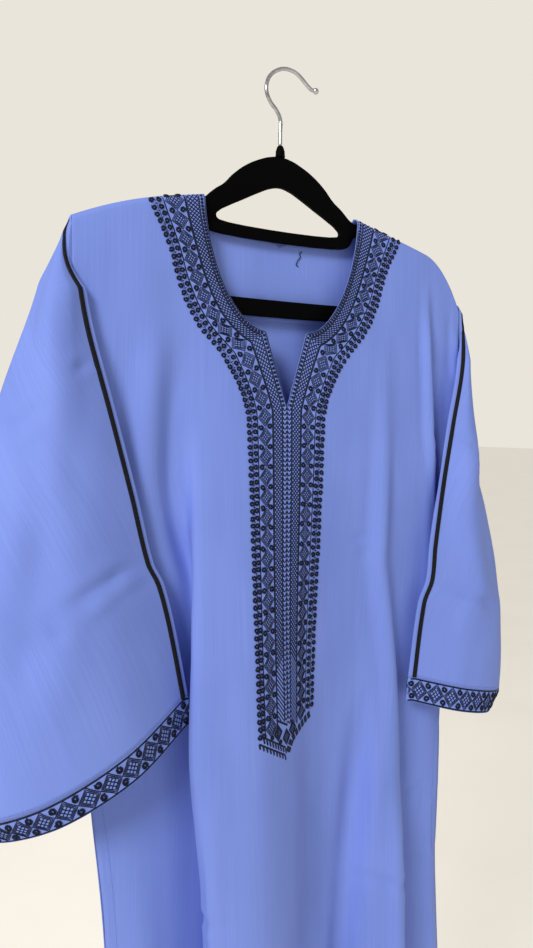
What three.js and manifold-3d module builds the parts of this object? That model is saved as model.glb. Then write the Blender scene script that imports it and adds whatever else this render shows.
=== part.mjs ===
// A wide-sleeved thobe with a notched neck and a long placket, hung on a slim velvet hanger.
// Millimetres, +Z up, +X to the wearer's left as seen from the front, -Y towards the viewer.
// The origin is the inner top of the hanger's hook, where a rail or a peg carries it.
import * as THREE from 'three';
import { mergeVertices } from 'three/addons/utils/BufferGeometryUtils.js';
import Module from 'manifold-3d';

// ---- driving dimensions ----------------------------------------------------------------------

const cloth = { wall: 1.5, gap: 0.35 };
const garmentX = -5; // the garment's centre line, beside the hook's bearing point
const hangerX = -8; // the hanger's stem

const body = {
  neckHalf: 81,
  neckZ: -130,
  cornerHalf: 21, // half the slit's width where it leaves the round neck
  cornerZ: -248,
  slitZ: -317,
  neckPower: 1.8, // 2 would be an ellipse
  backNeckDrop: 31,
  underarmZ: -420,
  hemZ: -1530,
  rollRadius: 6, // the cloth's bend over the hanger's arm
  placketEndZ: -632,
  placketCornerZ: -605,
};

// Each shoulder slopes to its armhole seam at tip, and falls away faster past bend.
const shoulders = [
  { side: -1, tip: 197, slope: 0.2, bend: 110, fall: 0.0016 },
  { side: 1, tip: 213, slope: 0.28, bend: 168.5, fall: 0.0186 },
];
// Half the distance between front and back along the armhole, closing to the side seam below.
const armholeSpread = { open: 7, shut: 1, closingHeight: 80 };

// The side seams are left open for a hand between these heights.
const pocket = { topZ: -650, bottomZ: -776, gape: 2.6 };

// Heights at which the body's folds are given: yoke, bust, waist, hip and hem.
const foldHeights = [-190, -330, -560, -810, -1530];

// Each row is one crest or valley line of the front, left side seam to right side seam.
// x is across from the centre line, out is forward of the hanger, both at the five heights.
const frontFolds = [
  { name: 'left seam', x: [-197, -197, -189, -168, -214], out: [0, 0, 1, 1, 3] },
  { name: 'left strip', x: [-172, -172, -161, -138, -176], out: [9, 8, 7, 9, 16] },
  { name: 'left ridge', x: [-140, -136, -130, -115, -140], out: [10, 11, 7, 4, 4] },
  { name: 'left valley', x: [-112, -108, -84, -74, -92], out: [9, 9, 2, -2, -3] },
  { name: 'left edge', x: [-92, -92, -105, -92, -116], out: [9, 12, 35, 40, 56] },
  { name: 'left bulge', x: [-64, -70, -76, -66, -78], out: [9, 15, 43, 53, 74] },
  { name: 'placket left', x: [-38, -44, -50, -44, -38], out: [9, 17, 46, 55, 74] },
  { name: 'centre', x: [-2, -6, -14, -12, -4], out: [9, 18, 36, 41, 54] },
  { name: 'placket right', x: [36, 34, 20, 18, 24], out: [9, 18, 21, 19, 24] },
  { name: 'skirt valley', x: [70, 72, 70, 59, 56], out: [9, 17, 13, 5, 6] },
  { name: 'skirt ridge', x: [104, 105, 106, 108, 112], out: [9, 17, 20, 35, 58] },
  { name: 'behind ridge', x: [132, 132, 124, 124, 134], out: [10, 15, 10, 3, 2] },
  { name: 'right panel', x: [158, 154, 154, 152, 166], out: [10, 14, 7, 4, 10] },
  { name: 'right edge', x: [176, 168, 170, 170, 192], out: [9, 13, 8, 5, 12] },
  { name: 'right recess', x: [196, 184, 179, 174, 208], out: [8, 2, 5, 6, 8] },
  { name: 'right seam', x: [213, 210, 195, 184, 226], out: [0, 0, 1, 1, 3] },
];
const frontCentre = frontFolds.findIndex((fold) => fold.name === 'centre');

const backFolds = [
  { name: 'left seam', x: [-197, -197, -189, -168, -214], out: [0, 0, 1, 1, 3] },
  { name: 'fold 1', x: [-165, -165, -152, -146, -188], out: [-8, -11, -14, -26, -30] },
  { name: 'fold 2', x: [-130, -128, -116, -112, -150], out: [-8, -13, -13, -10, -9] },
  { name: 'fold 3', x: [-92, -92, -84, -82, -104], out: [-8, -15, -25, -32, -36] },
  { name: 'fold 4', x: [-48, -48, -46, -44, -56], out: [-7.5, -12, -14, -11, -8] },
  { name: 'centre', x: [0, 0, 2, 4, 6], out: [-7.5, -14, -26, -33, -37] },
  { name: 'fold 5', x: [48, 48, 46, 46, 58], out: [-7.5, -12, -13, -9, -7] },
  { name: 'fold 6', x: [92, 92, 88, 86, 104], out: [-8, -15, -26, -31, -36] },
  { name: 'fold 7', x: [134, 132, 124, 120, 146], out: [-8, -13, -12, -9, -8] },
  { name: 'fold 8', x: [176, 172, 164, 158, 192], out: [-8, -11, -16, -25, -30] },
  { name: 'right seam', x: [213, 210, 195, 184, 226], out: [0, 0, 1, 1, 3] },
];
const backCentre = backFolds.findIndex((fold) => fold.name === 'centre');

// The embroidered panel's outer edge, measured from the centre line.
const bandEdge = [
  { z: -130, half: 136 },
  { z: -176, half: 116 },
  { z: -210, half: 106 },
  { z: -244, half: 90 },
  { z: -273, half: 66 },
  { z: -308, half: 46 },
  { z: -340, half: 41 },
  { z: -632, half: 39 },
];
const band = { columns: 4, wall: 1, gap: 0.7, tipHalf: 5 };
const columns = { frontOuter: 12, back: 12 };
const facing = { half: 108, below: 8, bottomZ: -236, wall: 1.2, rows: 7, columns: 5 };

// Sleeves: a row for each section down the arm. pipe is the piped fold near the body, outer the
// far fold, each measured outward from the centre line; swell is how far the face stands forward
// halfway between them, and drop is how much lower the outer fold lies for each millimetre out.
const sleeveTables = {
  left: [
    { z: -178, pipe: 196, pipeOut: 8, outer: 203, swell: 2, back: -8, drop: 0 },
    { z: -212, pipe: 195, pipeOut: 16, outer: 218, swell: 5, back: -9, drop: 0 },
    { z: -260, pipe: 187, pipeOut: 20, outer: 234, swell: 9, back: -12, drop: 0.02 },
    { z: -320, pipe: 172, pipeOut: 24, outer: 254, swell: 14, back: -16, drop: 0.05 },
    { z: -390, pipe: 154, pipeOut: 25, outer: 272, swell: 20, back: -20, drop: 0.12 },
    { z: -446, pipe: 140, pipeOut: 24, outer: 281, swell: 26, back: -22, drop: 0.2 },
    { z: -464, pipe: 131, pipeOut: 23.5, outer: 282, swell: 28, back: -23, drop: 0.23 },
    { z: -500, pipe: 121, pipeOut: 22, outer: 284, swell: 30, back: -24, drop: 0.3 },
    { z: -563, pipe: 108, pipeOut: 20, outer: 268, swell: 32, back: -24, drop: 0.45 },
    { z: -586, pipe: 104, pipeOut: 20, outer: 254, swell: 32, back: -24, drop: 0.436 },
  ],
  right: [
    { z: -213, pipe: 214, pipeOut: 11, outer: 220, swell: 2, back: -8, drop: 0 },
    { z: -238, pipe: 211, pipeOut: 16.5, outer: 221.5, swell: 4, back: -9, drop: 0 },
    { z: -280, pipe: 206, pipeOut: 18, outer: 222, swell: 6, back: -12, drop: 0.02 },
    { z: -330, pipe: 190, pipeOut: 23, outer: 227, swell: 10, back: -16, drop: 0.04 },
    { z: -395, pipe: 174, pipeOut: 26, outer: 241, swell: 14, back: -20, drop: 0.1 },
    { z: -455, pipe: 163, pipeOut: 26, outer: 260, swell: 18, back: -22, drop: 0.16 },
    { z: -490, pipe: 159, pipeOut: 25.5, outer: 268, swell: 20, back: -23, drop: 0.19 },
    { z: -512, pipe: 149, pipeOut: 25, outer: 273, swell: 22, back: -24, drop: 0.22 },
    { z: -585, pipe: 138, pipeOut: 23, outer: 272, swell: 24, back: -24, drop: 0.26 },
    { z: -609, pipe: 135, pipeOut: 23, outer: 256, swell: 24, back: -24, drop: 0.27 },
  ],
};
const sleeve = {
  stepsPerSpan: 3, // facets between one named point of the section and the next
  seamGap: 1.3,
  rowPower: 1.4, // rows are closer together near the shoulder
  down: 11,
  foldLip: 5, // plain cloth between the piping and the fold's edge
  openingHeight: 60, // below the shoulder tip, where the tube opens out from the armhole
  cuffHeight: 23,
  pipingRadius: 2.1,
};
const pipingPoint = 5; // the section's point that the piping follows

const hanger = { thick: 6, bevel: 1, hookRadius: 1.9, ballRadius: 3, tilt: 0.001 };

const colours = {
  cloth: 0x7488d8,
  embroidery: 0x2b3355,
  piping: 0x0c0c12,
  velvet: 0x0a0a0c,
  steel: 0xb9bcc2,
};

// ---- interpolation ---------------------------------------------------------------------------

const clamp = (value, low, high) => Math.min(high, Math.max(low, value));
const mix = (a, b, t) => a + (b - a) * t;
const span = (count) => Array.from({ length: count + 1 }, (_, i) => i / count);

// Smooth curve through values given at falling or rising keys.
function smoothAt(keys, values, key) {
  const falling = keys[0] > keys[keys.length - 1];
  const low = falling ? keys[keys.length - 1] : keys[0];
  const high = falling ? keys[0] : keys[keys.length - 1];
  const at = clamp(key, low, high);
  let i = 0;
  while (i < keys.length - 2 && (falling ? at < keys[i + 1] : at > keys[i + 1])) i += 1;
  const slope = (a, b) => (values[b] - values[a]) / (keys[b] - keys[a]);
  const width = keys[i + 1] - keys[i];
  const startSlope = i > 0 ? slope(i - 1, i + 1) : slope(0, 1);
  const endSlope = i < keys.length - 2 ? slope(i, i + 2) : slope(i, i + 1);
  const t = (at - keys[i]) / width;
  const t2 = t * t;
  const t3 = t2 * t;
  return (
    values[i] * (2 * t3 - 3 * t2 + 1)
    + startSlope * width * (t3 - 2 * t2 + t)
    + values[i + 1] * (3 * t2 - 2 * t3)
    + endSlope * width * (t3 - t2)
  );
}

// ---- the body's surface ----------------------------------------------------------------------

// Half the distance between front and back along the armhole, the side seam and the pocket.
function seamSpread(z) {
  const t = clamp((z - body.underarmZ) / armholeSpread.closingHeight, 0, 1);
  const armhole = mix(armholeSpread.shut, armholeSpread.open, t * t * (3 - 2 * t));
  const along = clamp((z - pocket.bottomZ) / (pocket.topZ - pocket.bottomZ), 0, 1);
  return armhole + pocket.gape * Math.sin(Math.PI * along) ** 0.6;
}

// The section of a panel at one height: a curve through its folds, measured along the cloth.
// The front (face 1) and the back (face -1) part either side of the line of the seams.
function section(face, z) {
  const folds = face > 0 ? frontFolds : backFolds;
  const centre = face > 0 ? frontCentre : backCentre;
  const points = folds.map((fold) => new THREE.Vector3(
    smoothAt(foldHeights, fold.x, z),
    smoothAt(foldHeights, fold.out, z),
    0,
  ));
  for (const seam of [points[0], points[points.length - 1]]) seam.y += face * seamSpread(z);
  const curve = new THREE.CatmullRomCurve3(points, false, 'centripetal');
  const steps = 10 * (points.length - 1);
  const samples = curve.getPoints(steps);
  const along = [0];
  for (let i = 1; i <= steps; i += 1) {
    along.push(along[i - 1] + samples[i].distanceTo(samples[i - 1]));
  }
  const zero = along[10 * centre];
  return { samples, along: along.map((value) => value - zero) };
}

function pointOnSection({ samples, along }, across) {
  let i = 0;
  while (i < along.length - 2 && along[i + 1] < across) i += 1;
  const t = (across - along[i]) / (along[i + 1] - along[i]);
  return {
    x: mix(samples[i].x, samples[i + 1].x, t),
    out: mix(samples[i].y, samples[i + 1].y, t),
  };
}

// How far the shoulder line has dropped below the neck point at a distance from the centre.
function shoulderDrop(x) {
  const line = shoulders[x < 0 ? 0 : 1];
  const reach = Math.max(0, Math.abs(x) - body.neckHalf);
  const past = Math.max(0, Math.abs(x) - line.bend);
  return reach * line.slope + past ** 2 * line.fall;
}

// A point of the front (face 1) or the back (face -1). reach is measured along the cloth, and
// level is the height it would have without the shoulder's slope.
function bodyPoint(face, reach, level) {
  const fade = clamp((level - body.underarmZ) / (body.neckZ - body.underarmZ), 0, 1);
  const z = level - shoulderDrop(reach) * fade;
  const spot = pointOnSection(section(face, z), reach);
  const below = clamp((body.neckZ - level) / body.rollRadius, 0, 1);
  const rolled = Math.sqrt(1 - (1 - below) ** 2);
  const seam = cloth.wall / 2 + cloth.gap / 2;
  const out = face > 0
    ? mix(seam, spot.out, rolled)
    : mix(-seam, spot.out, rolled);
  return new THREE.Vector3(spot.x, -out, z);
}

// Where the panel ends at a level, along the cloth: armhole above, side seam below.
function panelEnd(face, side, level) {
  const { tip } = shoulders[side < 0 ? 0 : 1];
  const fade = clamp((level - body.underarmZ) / (body.neckZ - body.underarmZ), 0, 1);
  const { along } = section(face, level - shoulderDrop(side * tip) * fade);
  return side < 0 ? along[0] : along[along.length - 1];
}

// Half the front neck opening at a level, slit included.
function neckHalfFront(level) {
  if (level >= body.cornerZ) {
    const t = clamp((body.neckZ - level) / (body.neckZ - body.cornerZ), 0, 1);
    const round = (1 - t ** body.neckPower) ** (1 / body.neckPower);
    return body.cornerHalf + (body.neckHalf - body.cornerHalf) * round;
  }
  return body.cornerHalf * clamp((level - body.slitZ) / (body.cornerZ - body.slitZ), 0, 1);
}

function neckHalfBack(level) {
  const t = clamp((body.neckZ - level) / body.backNeckDrop, 0, 1);
  return body.neckHalf * (1 - t ** 3) ** (1 / 2);
}

// Levels of the rows: close over the shoulder's roll and round the neck, wider below.
function frontLevels() {
  const roll = [0, 1.2, 3.2].map((drop) => body.neckZ - drop);
  const neck = [0.2, 0.4, 0.58, 0.74, 0.87, 0.95, 1]
    .map((t) => mix(body.neckZ, body.cornerZ, Math.sin((t * Math.PI) / 2) ** 1.15));
  const slit = [0.5, 1].map((t) => mix(body.cornerZ, body.slitZ, t));
  const chest = [0.33, 0.67, 1].map((t) => mix(body.slitZ, body.underarmZ, t));
  const waist = span(4).slice(1).map((t) => mix(body.underarmZ, body.placketCornerZ, t));
  const point = span(3).slice(1).map((t) => mix(body.placketCornerZ, body.placketEndZ, t));
  const skirt = span(11).slice(1).map((t) => mix(body.placketEndZ, body.hemZ, t));
  return [...roll, ...neck, ...slit, ...chest, ...waist, ...point, ...skirt];
}

function backLevels() {
  const roll = [0, 1.2, 3.2].map((drop) => body.neckZ - drop);
  const neckBottom = body.neckZ - body.backNeckDrop;
  const neck = [0.35, 0.65, 0.88, 1].map((t) => mix(body.neckZ, neckBottom, t));
  const chest = [0.15, 0.33, 0.66, 1].map((t) => mix(neckBottom, body.underarmZ, t));
  const skirt = span(11).slice(1).map((t) => mix(body.underarmZ, body.hemZ, t));
  return [...roll, ...neck, ...chest, ...skirt];
}

const bandHalf = (level) => smoothAt(
  bandEdge.map((row) => row.z),
  bandEdge.map((row) => row.half),
  level,
);

// ---- walls -----------------------------------------------------------------------------------

// Points closer than this are one point.
const weld = 0.001;
const key = (p) => p.toArray().map((value) => Math.round(value / weld)).join();

// A closed wall about an open surface: each point moves half the wall's thickness both ways,
// and the open edges are closed. offset moves the whole wall out along the surface's normals.
function wallFromPatches(patches, thickness, offset = 0) {
  const index = new Map();
  const points = [];
  const faces = [];
  const add = (p) => {
    const name = key(p);
    if (!index.has(name)) {
      index.set(name, points.length);
      points.push(p);
    }
    return index.get(name);
  };
  const addFace = (a, b, c) => {
    if (a !== b && b !== c && c !== a) faces.push([a, b, c]);
  };
  for (const rows of patches) {
    const ids = rows.map((row) => row.map(add));
    for (let r = 0; r < ids.length - 1; r += 1) {
      for (let c = 0; c < ids[r].length - 1; c += 1) {
        addFace(ids[r][c], ids[r + 1][c], ids[r + 1][c + 1]);
        addFace(ids[r][c], ids[r + 1][c + 1], ids[r][c + 1]);
      }
    }
  }
  const normals = points.map(() => new THREE.Vector3());
  for (const [a, b, c] of faces) {
    const edge = points[b].clone().sub(points[a]);
    const normal = edge.cross(points[c].clone().sub(points[a]));
    for (const i of [a, b, c]) normals[i].add(normal);
  }
  normals.forEach((normal) => normal.normalize());
  const count = points.length;
  const positions = [];
  for (const shift of [offset + thickness / 2, offset - thickness / 2]) {
    points.forEach((p, i) => positions.push(...p.clone().addScaledVector(normals[i], shift)));
  }
  const triangles = [];
  const edges = new Set(faces.flatMap(([a, b, c]) => [`${a} ${b}`, `${b} ${c}`, `${c} ${a}`]));
  for (const [a, b, c] of faces) {
    triangles.push(a, b, c, c + count, b + count, a + count);
    for (const [from, to] of [[a, b], [b, c], [c, a]]) {
      if (!edges.has(`${to} ${from}`)) {
        triangles.push(to, from, from + count, to, from + count, to + count);
      }
    }
  }
  const geometry = new THREE.BufferGeometry();
  geometry.setAttribute('position', new THREE.Float32BufferAttribute(positions, 3));
  geometry.setIndex(triangles);
  return geometry;
}

// ---- panels ----------------------------------------------------------------------------------

// Rows of one half of a panel, from the neck or the centre out to the armhole or side seam.
function halfPanel(face, side, levels, neckHalf) {
  return levels.map((level) => {
    const start = neckHalf(level);
    const middle = bandHalf(level);
    const end = Math.abs(panelEnd(face, side, level));
    const reaches = face > 0
      ? [
        ...span(band.columns).map((t) => mix(start, middle, t)),
        ...span(columns.frontOuter).slice(1).map((t) => mix(middle, end, t)),
      ]
      : span(columns.back).map((t) => mix(start, end, t));
    const row = reaches.map((reach) => bodyPoint(face, side * reach, level));
    return side * face > 0 ? row : row.reverse();
  });
}

function frontPanel() {
  const levels = frontLevels();
  const halves = [-1, 1].map((side) => halfPanel(1, side, levels, neckHalfFront));
  return wallFromPatches(halves, cloth.wall);
}

function backPanel() {
  const levels = backLevels();
  const halves = [-1, 1].map((side) => halfPanel(-1, side, levels, neckHalfBack));
  return wallFromPatches(halves, cloth.wall);
}

// Embroidered panels lie on the front, on the same rows as the cloth below them.
function embroideredPanel(sides, levels, halfWidth) {
  const patches = sides.map((side) => levels.map((level) => {
    const start = neckHalfFront(level);
    const row = span(band.columns)
      .map((t) => bodyPoint(1, side * mix(start, halfWidth(level), t), level));
    return side > 0 ? row : row.reverse();
  }));
  return wallFromPatches(patches, band.wall, (cloth.wall + band.wall) / 2 + band.gap);
}

function neckEmbroidery(side) {
  const levels = frontLevels().filter((level) => level >= body.slitZ);
  return embroideredPanel([side], levels, bandHalf);
}

function placketEmbroidery() {
  const levels = frontLevels().filter((z) => z < body.slitZ && z >= body.placketEndZ);
  const pointed = (level) => {
    const t = clamp((level - body.placketEndZ) / (body.placketCornerZ - body.placketEndZ), 0, 1);
    return mix(band.tipHalf, bandHalf(level), t);
  };
  return embroideredPanel([-1, 1], [body.slitZ - 2 * cloth.gap, ...levels], pointed);
}

// The facing lies on the inside of the back, round its neck.
function backNeckFacing() {
  const top = body.neckZ - facing.below;
  const levels = span(facing.rows).map((t) => mix(top, facing.bottomZ, t));
  const patches = [-1, 1].map((side) => levels.map((level) => {
    const start = neckHalfBack(level);
    const row = span(facing.columns)
      .map((t) => bodyPoint(-1, side * mix(start, facing.half, t), level));
    return side < 0 ? row : row.reverse();
  }));
  return wallFromPatches(patches, facing.wall, -(cloth.wall + facing.wall) / 2 - cloth.gap);
}

// ---- sleeves ---------------------------------------------------------------------------------

// One sleeve's section at a nominal height: the distance outward and forward of each point,
// from the armhole's front seam round the piped fold, the face and the outer fold to the back.
function sleeveSection(name, z) {
  const rows = sleeveTables[name];
  const at = (column) => smoothAt(rows.map((row) => row.z), rows.map((row) => row[column]), z);
  const { tip } = shoulders[name === 'left' ? 0 : 1];
  const tipZ = body.neckZ - shoulderDrop(name === 'left' ? -tip : tip);
  const [pipe, pipeOut, outer, swell, back, drop] = [
    'pipe', 'pipeOut', 'outer', 'swell', 'back', 'drop',
  ].map(at);
  const seam = tip + sleeve.seamGap;
  const seamZ = z - drop * Math.max(0, seam - pipe);
  const spread = seamZ > body.underarmZ ? seamSpread(seamZ) : 0;
  const open = clamp((tipZ - z) / sleeve.openingHeight, 0, 1);
  const lip = pipe - sleeve.foldLip * open;
  const hung = [
    [seam, spread],
    [seam + 3, mix(spread, 12, 0.55)],
    [mix(seam, pipe, 0.5), mix(13, pipeOut - 5, 0.5)],
    [lip + 1.6, pipeOut - 4.6],
    [lip - 0.4, pipeOut - 2],
    [pipe, pipeOut],
    [mix(pipe, outer, 0.35), pipeOut + swell * 0.8],
    [mix(pipe, outer, 0.72), pipeOut * 0.8 + swell * 0.75],
    [outer - 4, 9],
    [outer, -1],
    [mix(outer, seam, 0.35), back],
    [mix(outer, seam, 0.8), back * 0.8],
    [seam, -spread],
  ];
  const last = hung.length - 1;
  return {
    drop,
    pipe,
    points: hung.map(([across, out], i) => {
      const turn = (Math.PI * i) / last;
      const roundAcross = seam + Math.max(0, outer - seam) * Math.sin(turn);
      const roundOut = spread * Math.cos(turn);
      return [mix(roundAcross, across, open), mix(roundOut, out, open)];
    }),
  };
}

// The points of one row of a sleeve, and where its piping lies.
function sleeveRow(name, z) {
  const side = name === 'left' ? -1 : 1;
  const { drop, pipe, points } = sleeveSection(name, z);
  const curve = new THREE.CatmullRomCurve3(
    points.map(([across, out]) => new THREE.Vector3(across, out, 0)),
    false,
    'centripetal',
  );
  const place = (spot) => new THREE.Vector3(
    side * spot.x,
    -spot.y,
    z - drop * Math.max(0, spot.x - pipe),
  );
  const steps = sleeve.stepsPerSpan * (points.length - 1);
  const row = curve.getPoints(steps).map(place);
  const at = pipingPoint / (points.length - 1);
  const along = curve.getTangent(at);
  const lift = cloth.wall / 2 + band.gap + sleeve.pipingRadius + 0.2;
  const outward = new THREE.Vector3(-along.y, along.x, 0);
  const piping = curve.getPoint(at).addScaledVector(outward, lift);
  return { row, piping: place(piping) };
}

function sleeveHeights(name) {
  const rows = sleeveTables[name];
  const end = rows[rows.length - 1].z + sleeve.cuffHeight;
  return { start: rows[0].z, end, cuffEnd: rows[rows.length - 1].z };
}

// The row over the hanger's end, level with the shoulder seam.
function tipRow(name, count) {
  const side = name === 'left' ? -1 : 1;
  const { tip } = shoulders[name === 'left' ? 0 : 1];
  const tipZ = body.neckZ - shoulderDrop(side * tip);
  return span(count).map((t) => new THREE.Vector3(
    side * (tip + sleeve.seamGap),
    -armholeSpread.open * Math.cos(Math.PI * t),
    tipZ - body.rollRadius * (1 - Math.sin(Math.PI * t)),
  ));
}

function sleeveRows(name) {
  const { start, end } = sleeveHeights(name);
  return span(sleeve.down).map((t) => sleeveRow(name, mix(start, end, t ** sleeve.rowPower)));
}

function facingOut(name, rows) {
  return name === 'left' ? rows.map((row) => [...row].reverse()) : rows;
}

function sleevePanel(name) {
  const rows = sleeveRows(name).map(({ row }) => row);
  return wallFromPatches([facingOut(name, [tipRow(name, rows[0].length - 1), ...rows])], cloth.wall);
}

function cuffBand(name) {
  const { end, cuffEnd } = sleeveHeights(name);
  const rows = [end - 2 * cloth.gap, cuffEnd].map((z) => sleeveRow(name, z).row);
  return wallFromPatches([facingOut(name, rows)], cloth.wall + band.wall / 2);
}

function tubeAlong(points, radius, sides, steps) {
  const path = new THREE.CatmullRomCurve3(points, false, 'centripetal');
  const outline = new THREE.Shape();
  for (let i = 0; i < sides; i += 1) {
    const turn = (2 * Math.PI * i) / sides;
    const x = radius * Math.cos(turn);
    const y = radius * Math.sin(turn);
    if (i === 0) outline.moveTo(x, y);
    else outline.lineTo(x, y);
  }
  return new THREE.ExtrudeGeometry(outline, { steps, bevelEnabled: false, extrudePath: path });
}

function sleevePiping(name) {
  const points = sleeveRows(name).map(({ piping }) => piping);
  return tubeAlong(points, sleeve.pipingRadius, 8, 26);
}

// ---- hanger ----------------------------------------------------------------------------------

// Right half of the hanger's outline, from the top of its arch to the middle of its lower bar.
const hangerOutline = [
  [0, -83], [11, -84.5], [22, -88.5], [36, -96], [48, -105.5], [58, -116], [67, -122.5],
  [80, -133], [86, -134.5], [100, -137], [172, -160], [183, -164.6], [189, -172.5], [190, -184],
  [184, -198], [174, -214], [162, -224], [148, -229], [120, -231.5], [60, -232.5], [0, -233],
];
// Right halves of its two openings: under the arch, and between the two bars.
const archOpening = [
  [0, -111.5], [10, -113.5], [22, -119], [38, -127.5], [54, -136], [62, -141], [66, -146],
  [63, -149.5],
];
const barOpening = [
  [72, -160], [78, -156], [82, -149], [88, -146.5], [160, -171], [172, -178],
  [173, -186], [166, -200], [156, -211], [144, -214.5], [60, -216.8], [0, -217.2],
];

// A closed outline from its right half, mirrored about the stem and turning anticlockwise.
function mirrored(half) {
  const left = half.filter(([x]) => x > 0).reverse().map(([x, z]) => [-x, z]);
  return [...half, ...left].reverse().map(([x, z]) => new THREE.Vector2(x, z));
}

function hangerFrame() {
  const outline = new THREE.Shape(mirrored(hangerOutline));
  outline.holes.push(new THREE.Path(mirrored(archOpening)));
  outline.holes.push(new THREE.Path(mirrored(barOpening)));
  const geometry = new THREE.ExtrudeGeometry(outline, {
    depth: hanger.thick - 2 * hanger.bevel,
    bevelThickness: hanger.bevel,
    bevelSize: hanger.bevel,
    bevelOffset: -hanger.bevel,
    bevelSegments: 1,
  });
  geometry.translate(0, 0, hanger.bevel - hanger.thick / 2);
  geometry.rotateX(Math.PI / 2);
  return geometry;
}

const hookRoute = [
  [-8, -72], [-8, -60], [-8, -47], [-11.5, -40], [-18.5, -32.5], [-22.4, -24], [-22, -15.5],
  [-18, -7.5], [-11, -1.6], [-3, 1.5], [4, 1.6], [10, 0], [16, -4], [21.5, -8.6], [26.5, -11.6],
  [31, -11.9],
];

function ferrule() {
  const outline = [[0, -82.6], [4.6, -82.6], [4.3, -77], [3, -73.4], [2.6, -72.4], [0, -72.4]];
  const geometry = new THREE.LatheGeometry(outline.map(([r, z]) => new THREE.Vector2(r, z)), 16);
  geometry.rotateX(Math.PI / 2);
  return geometry;
}

const wasm = await Module();
wasm.setup();

function solidOf(geometry) {
  const plain = new THREE.BufferGeometry();
  plain.setAttribute('position', geometry.getAttribute('position').clone());
  if (geometry.index) plain.setIndex(geometry.index.clone());
  const merged = mergeVertices(plain, 1e-4);
  return new wasm.Manifold(new wasm.Mesh({
    numProp: 3,
    vertProperties: new Float32Array(merged.getAttribute('position').array),
    triVerts: new Uint32Array(merged.index.array),
  }));
}

function geometryOf(solid) {
  const { vertProperties, triVerts } = solid.getMesh();
  const geometry = new THREE.BufferGeometry();
  geometry.setAttribute('position', new THREE.BufferAttribute(new Float32Array(vertProperties), 3));
  geometry.setIndex(new THREE.BufferAttribute(new Uint32Array(triVerts), 1));
  return geometry;
}

function hook() {
  const route = hookRoute.map(([x, z]) => new THREE.Vector3(x, 0, z));
  const wire = solidOf(tubeAlong(route, hanger.hookRadius, 8, 32));
  const ball = new THREE.SphereGeometry(hanger.ballRadius, 10, 6);
  const end = route[route.length - 1];
  ball.translate(end.x, end.y, end.z);
  return geometryOf(wire.add(solidOf(ball)));
}

// ---- assembly --------------------------------------------------------------------------------

function piece(name, geometry, colour, roughness, metalness = 0) {
  const material = new THREE.MeshStandardMaterial({ color: colour, roughness, metalness });
  material.name = name;
  const mesh = new THREE.Mesh(geometry, material);
  mesh.name = name;
  return mesh;
}

const garment = new THREE.Group();
garment.position.x = garmentX;
garment.add(
  piece('front', frontPanel(), colours.cloth, 0.75),
  piece('back', backPanel(), colours.cloth, 0.75),
  piece('back_neck_facing', backNeckFacing(), colours.cloth, 0.75),
  piece('neck_embroidery_left', neckEmbroidery(-1), colours.embroidery, 0.8),
  piece('neck_embroidery_right', neckEmbroidery(1), colours.embroidery, 0.8),
  piece('placket_embroidery', placketEmbroidery(), colours.embroidery, 0.8),
);
for (const name of ['left', 'right']) {
  garment.add(
    piece(`sleeve_${name}`, sleevePanel(name), colours.cloth, 0.75),
    piece(`cuff_${name}`, cuffBand(name), colours.embroidery, 0.8),
    piece(`piping_${name}`, sleevePiping(name), colours.piping, 0.7),
  );
}

const frame = piece('hanger_frame', hangerFrame(), colours.velvet, 0.95);
frame.position.x = hangerX;
frame.rotation.y = hanger.tilt;
const stem = piece('hanger_ferrule', ferrule(), colours.velvet, 0.6);
stem.position.x = hangerX;

const group = new THREE.Group();
group.add(garment, frame, stem, piece('hanger_hook', hook(), colours.steel, 0.25, 1));

export default group;
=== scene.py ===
import math

import bmesh
import bpy
import numpy as np
from mathutils import Matrix, Vector


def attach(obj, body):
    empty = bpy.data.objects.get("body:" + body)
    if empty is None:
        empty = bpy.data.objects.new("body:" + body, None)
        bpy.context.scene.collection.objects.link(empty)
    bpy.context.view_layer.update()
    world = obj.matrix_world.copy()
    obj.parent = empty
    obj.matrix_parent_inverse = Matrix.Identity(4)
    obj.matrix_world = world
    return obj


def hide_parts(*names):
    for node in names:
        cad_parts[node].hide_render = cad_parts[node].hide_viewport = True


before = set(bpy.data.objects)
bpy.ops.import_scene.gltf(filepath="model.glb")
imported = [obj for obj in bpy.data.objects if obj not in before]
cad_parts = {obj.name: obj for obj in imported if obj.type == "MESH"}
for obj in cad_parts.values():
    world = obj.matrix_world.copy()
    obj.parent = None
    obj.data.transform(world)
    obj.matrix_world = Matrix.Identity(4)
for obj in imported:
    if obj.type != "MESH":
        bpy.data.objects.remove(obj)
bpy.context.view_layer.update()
print("stage: frame loaded")

mm = 0.001  # sizes below are in millimetres, meshes are in metres

# the garment's driving sizes, as its solids have them
garment = {
    "centreX": -5.0,
    "neckHalf": 81.0,
    "neckZ": -130.0,
    "cornerHalf": 21.0,
    "cornerZ": -248.0,
    "slitZ": -317.0,
    "neckPower": 1.8,
    "backNeckDrop": 31.0,
    "underarmZ": -420.0,
    "hemZ": -1530.0,
    "rollRadius": 6.0,
    "placketCornerZ": -605.0,
    "clothThickness": 0.8,
    "seamHalf": 0.45,  # half the distance between the two layers at the shoulder seam
}
shoulders = {
    -1: {"tip": 197.0, "slope": 0.2, "bend": 110.0, "fall": 0.0016},
    1: {"tip": 213.0, "slope": 0.28, "bend": 168.5, "fall": 0.0186},
}
armhole = {"open": 7.0, "shut": 0.45, "closingHeight": 80.0, "seamGap": 0.2}
pocket = {"topZ": -650.0, "bottomZ": -776.0, "gape": 2.6}
foldHeights = [-190, -330, -560, -810, -1530]

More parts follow.
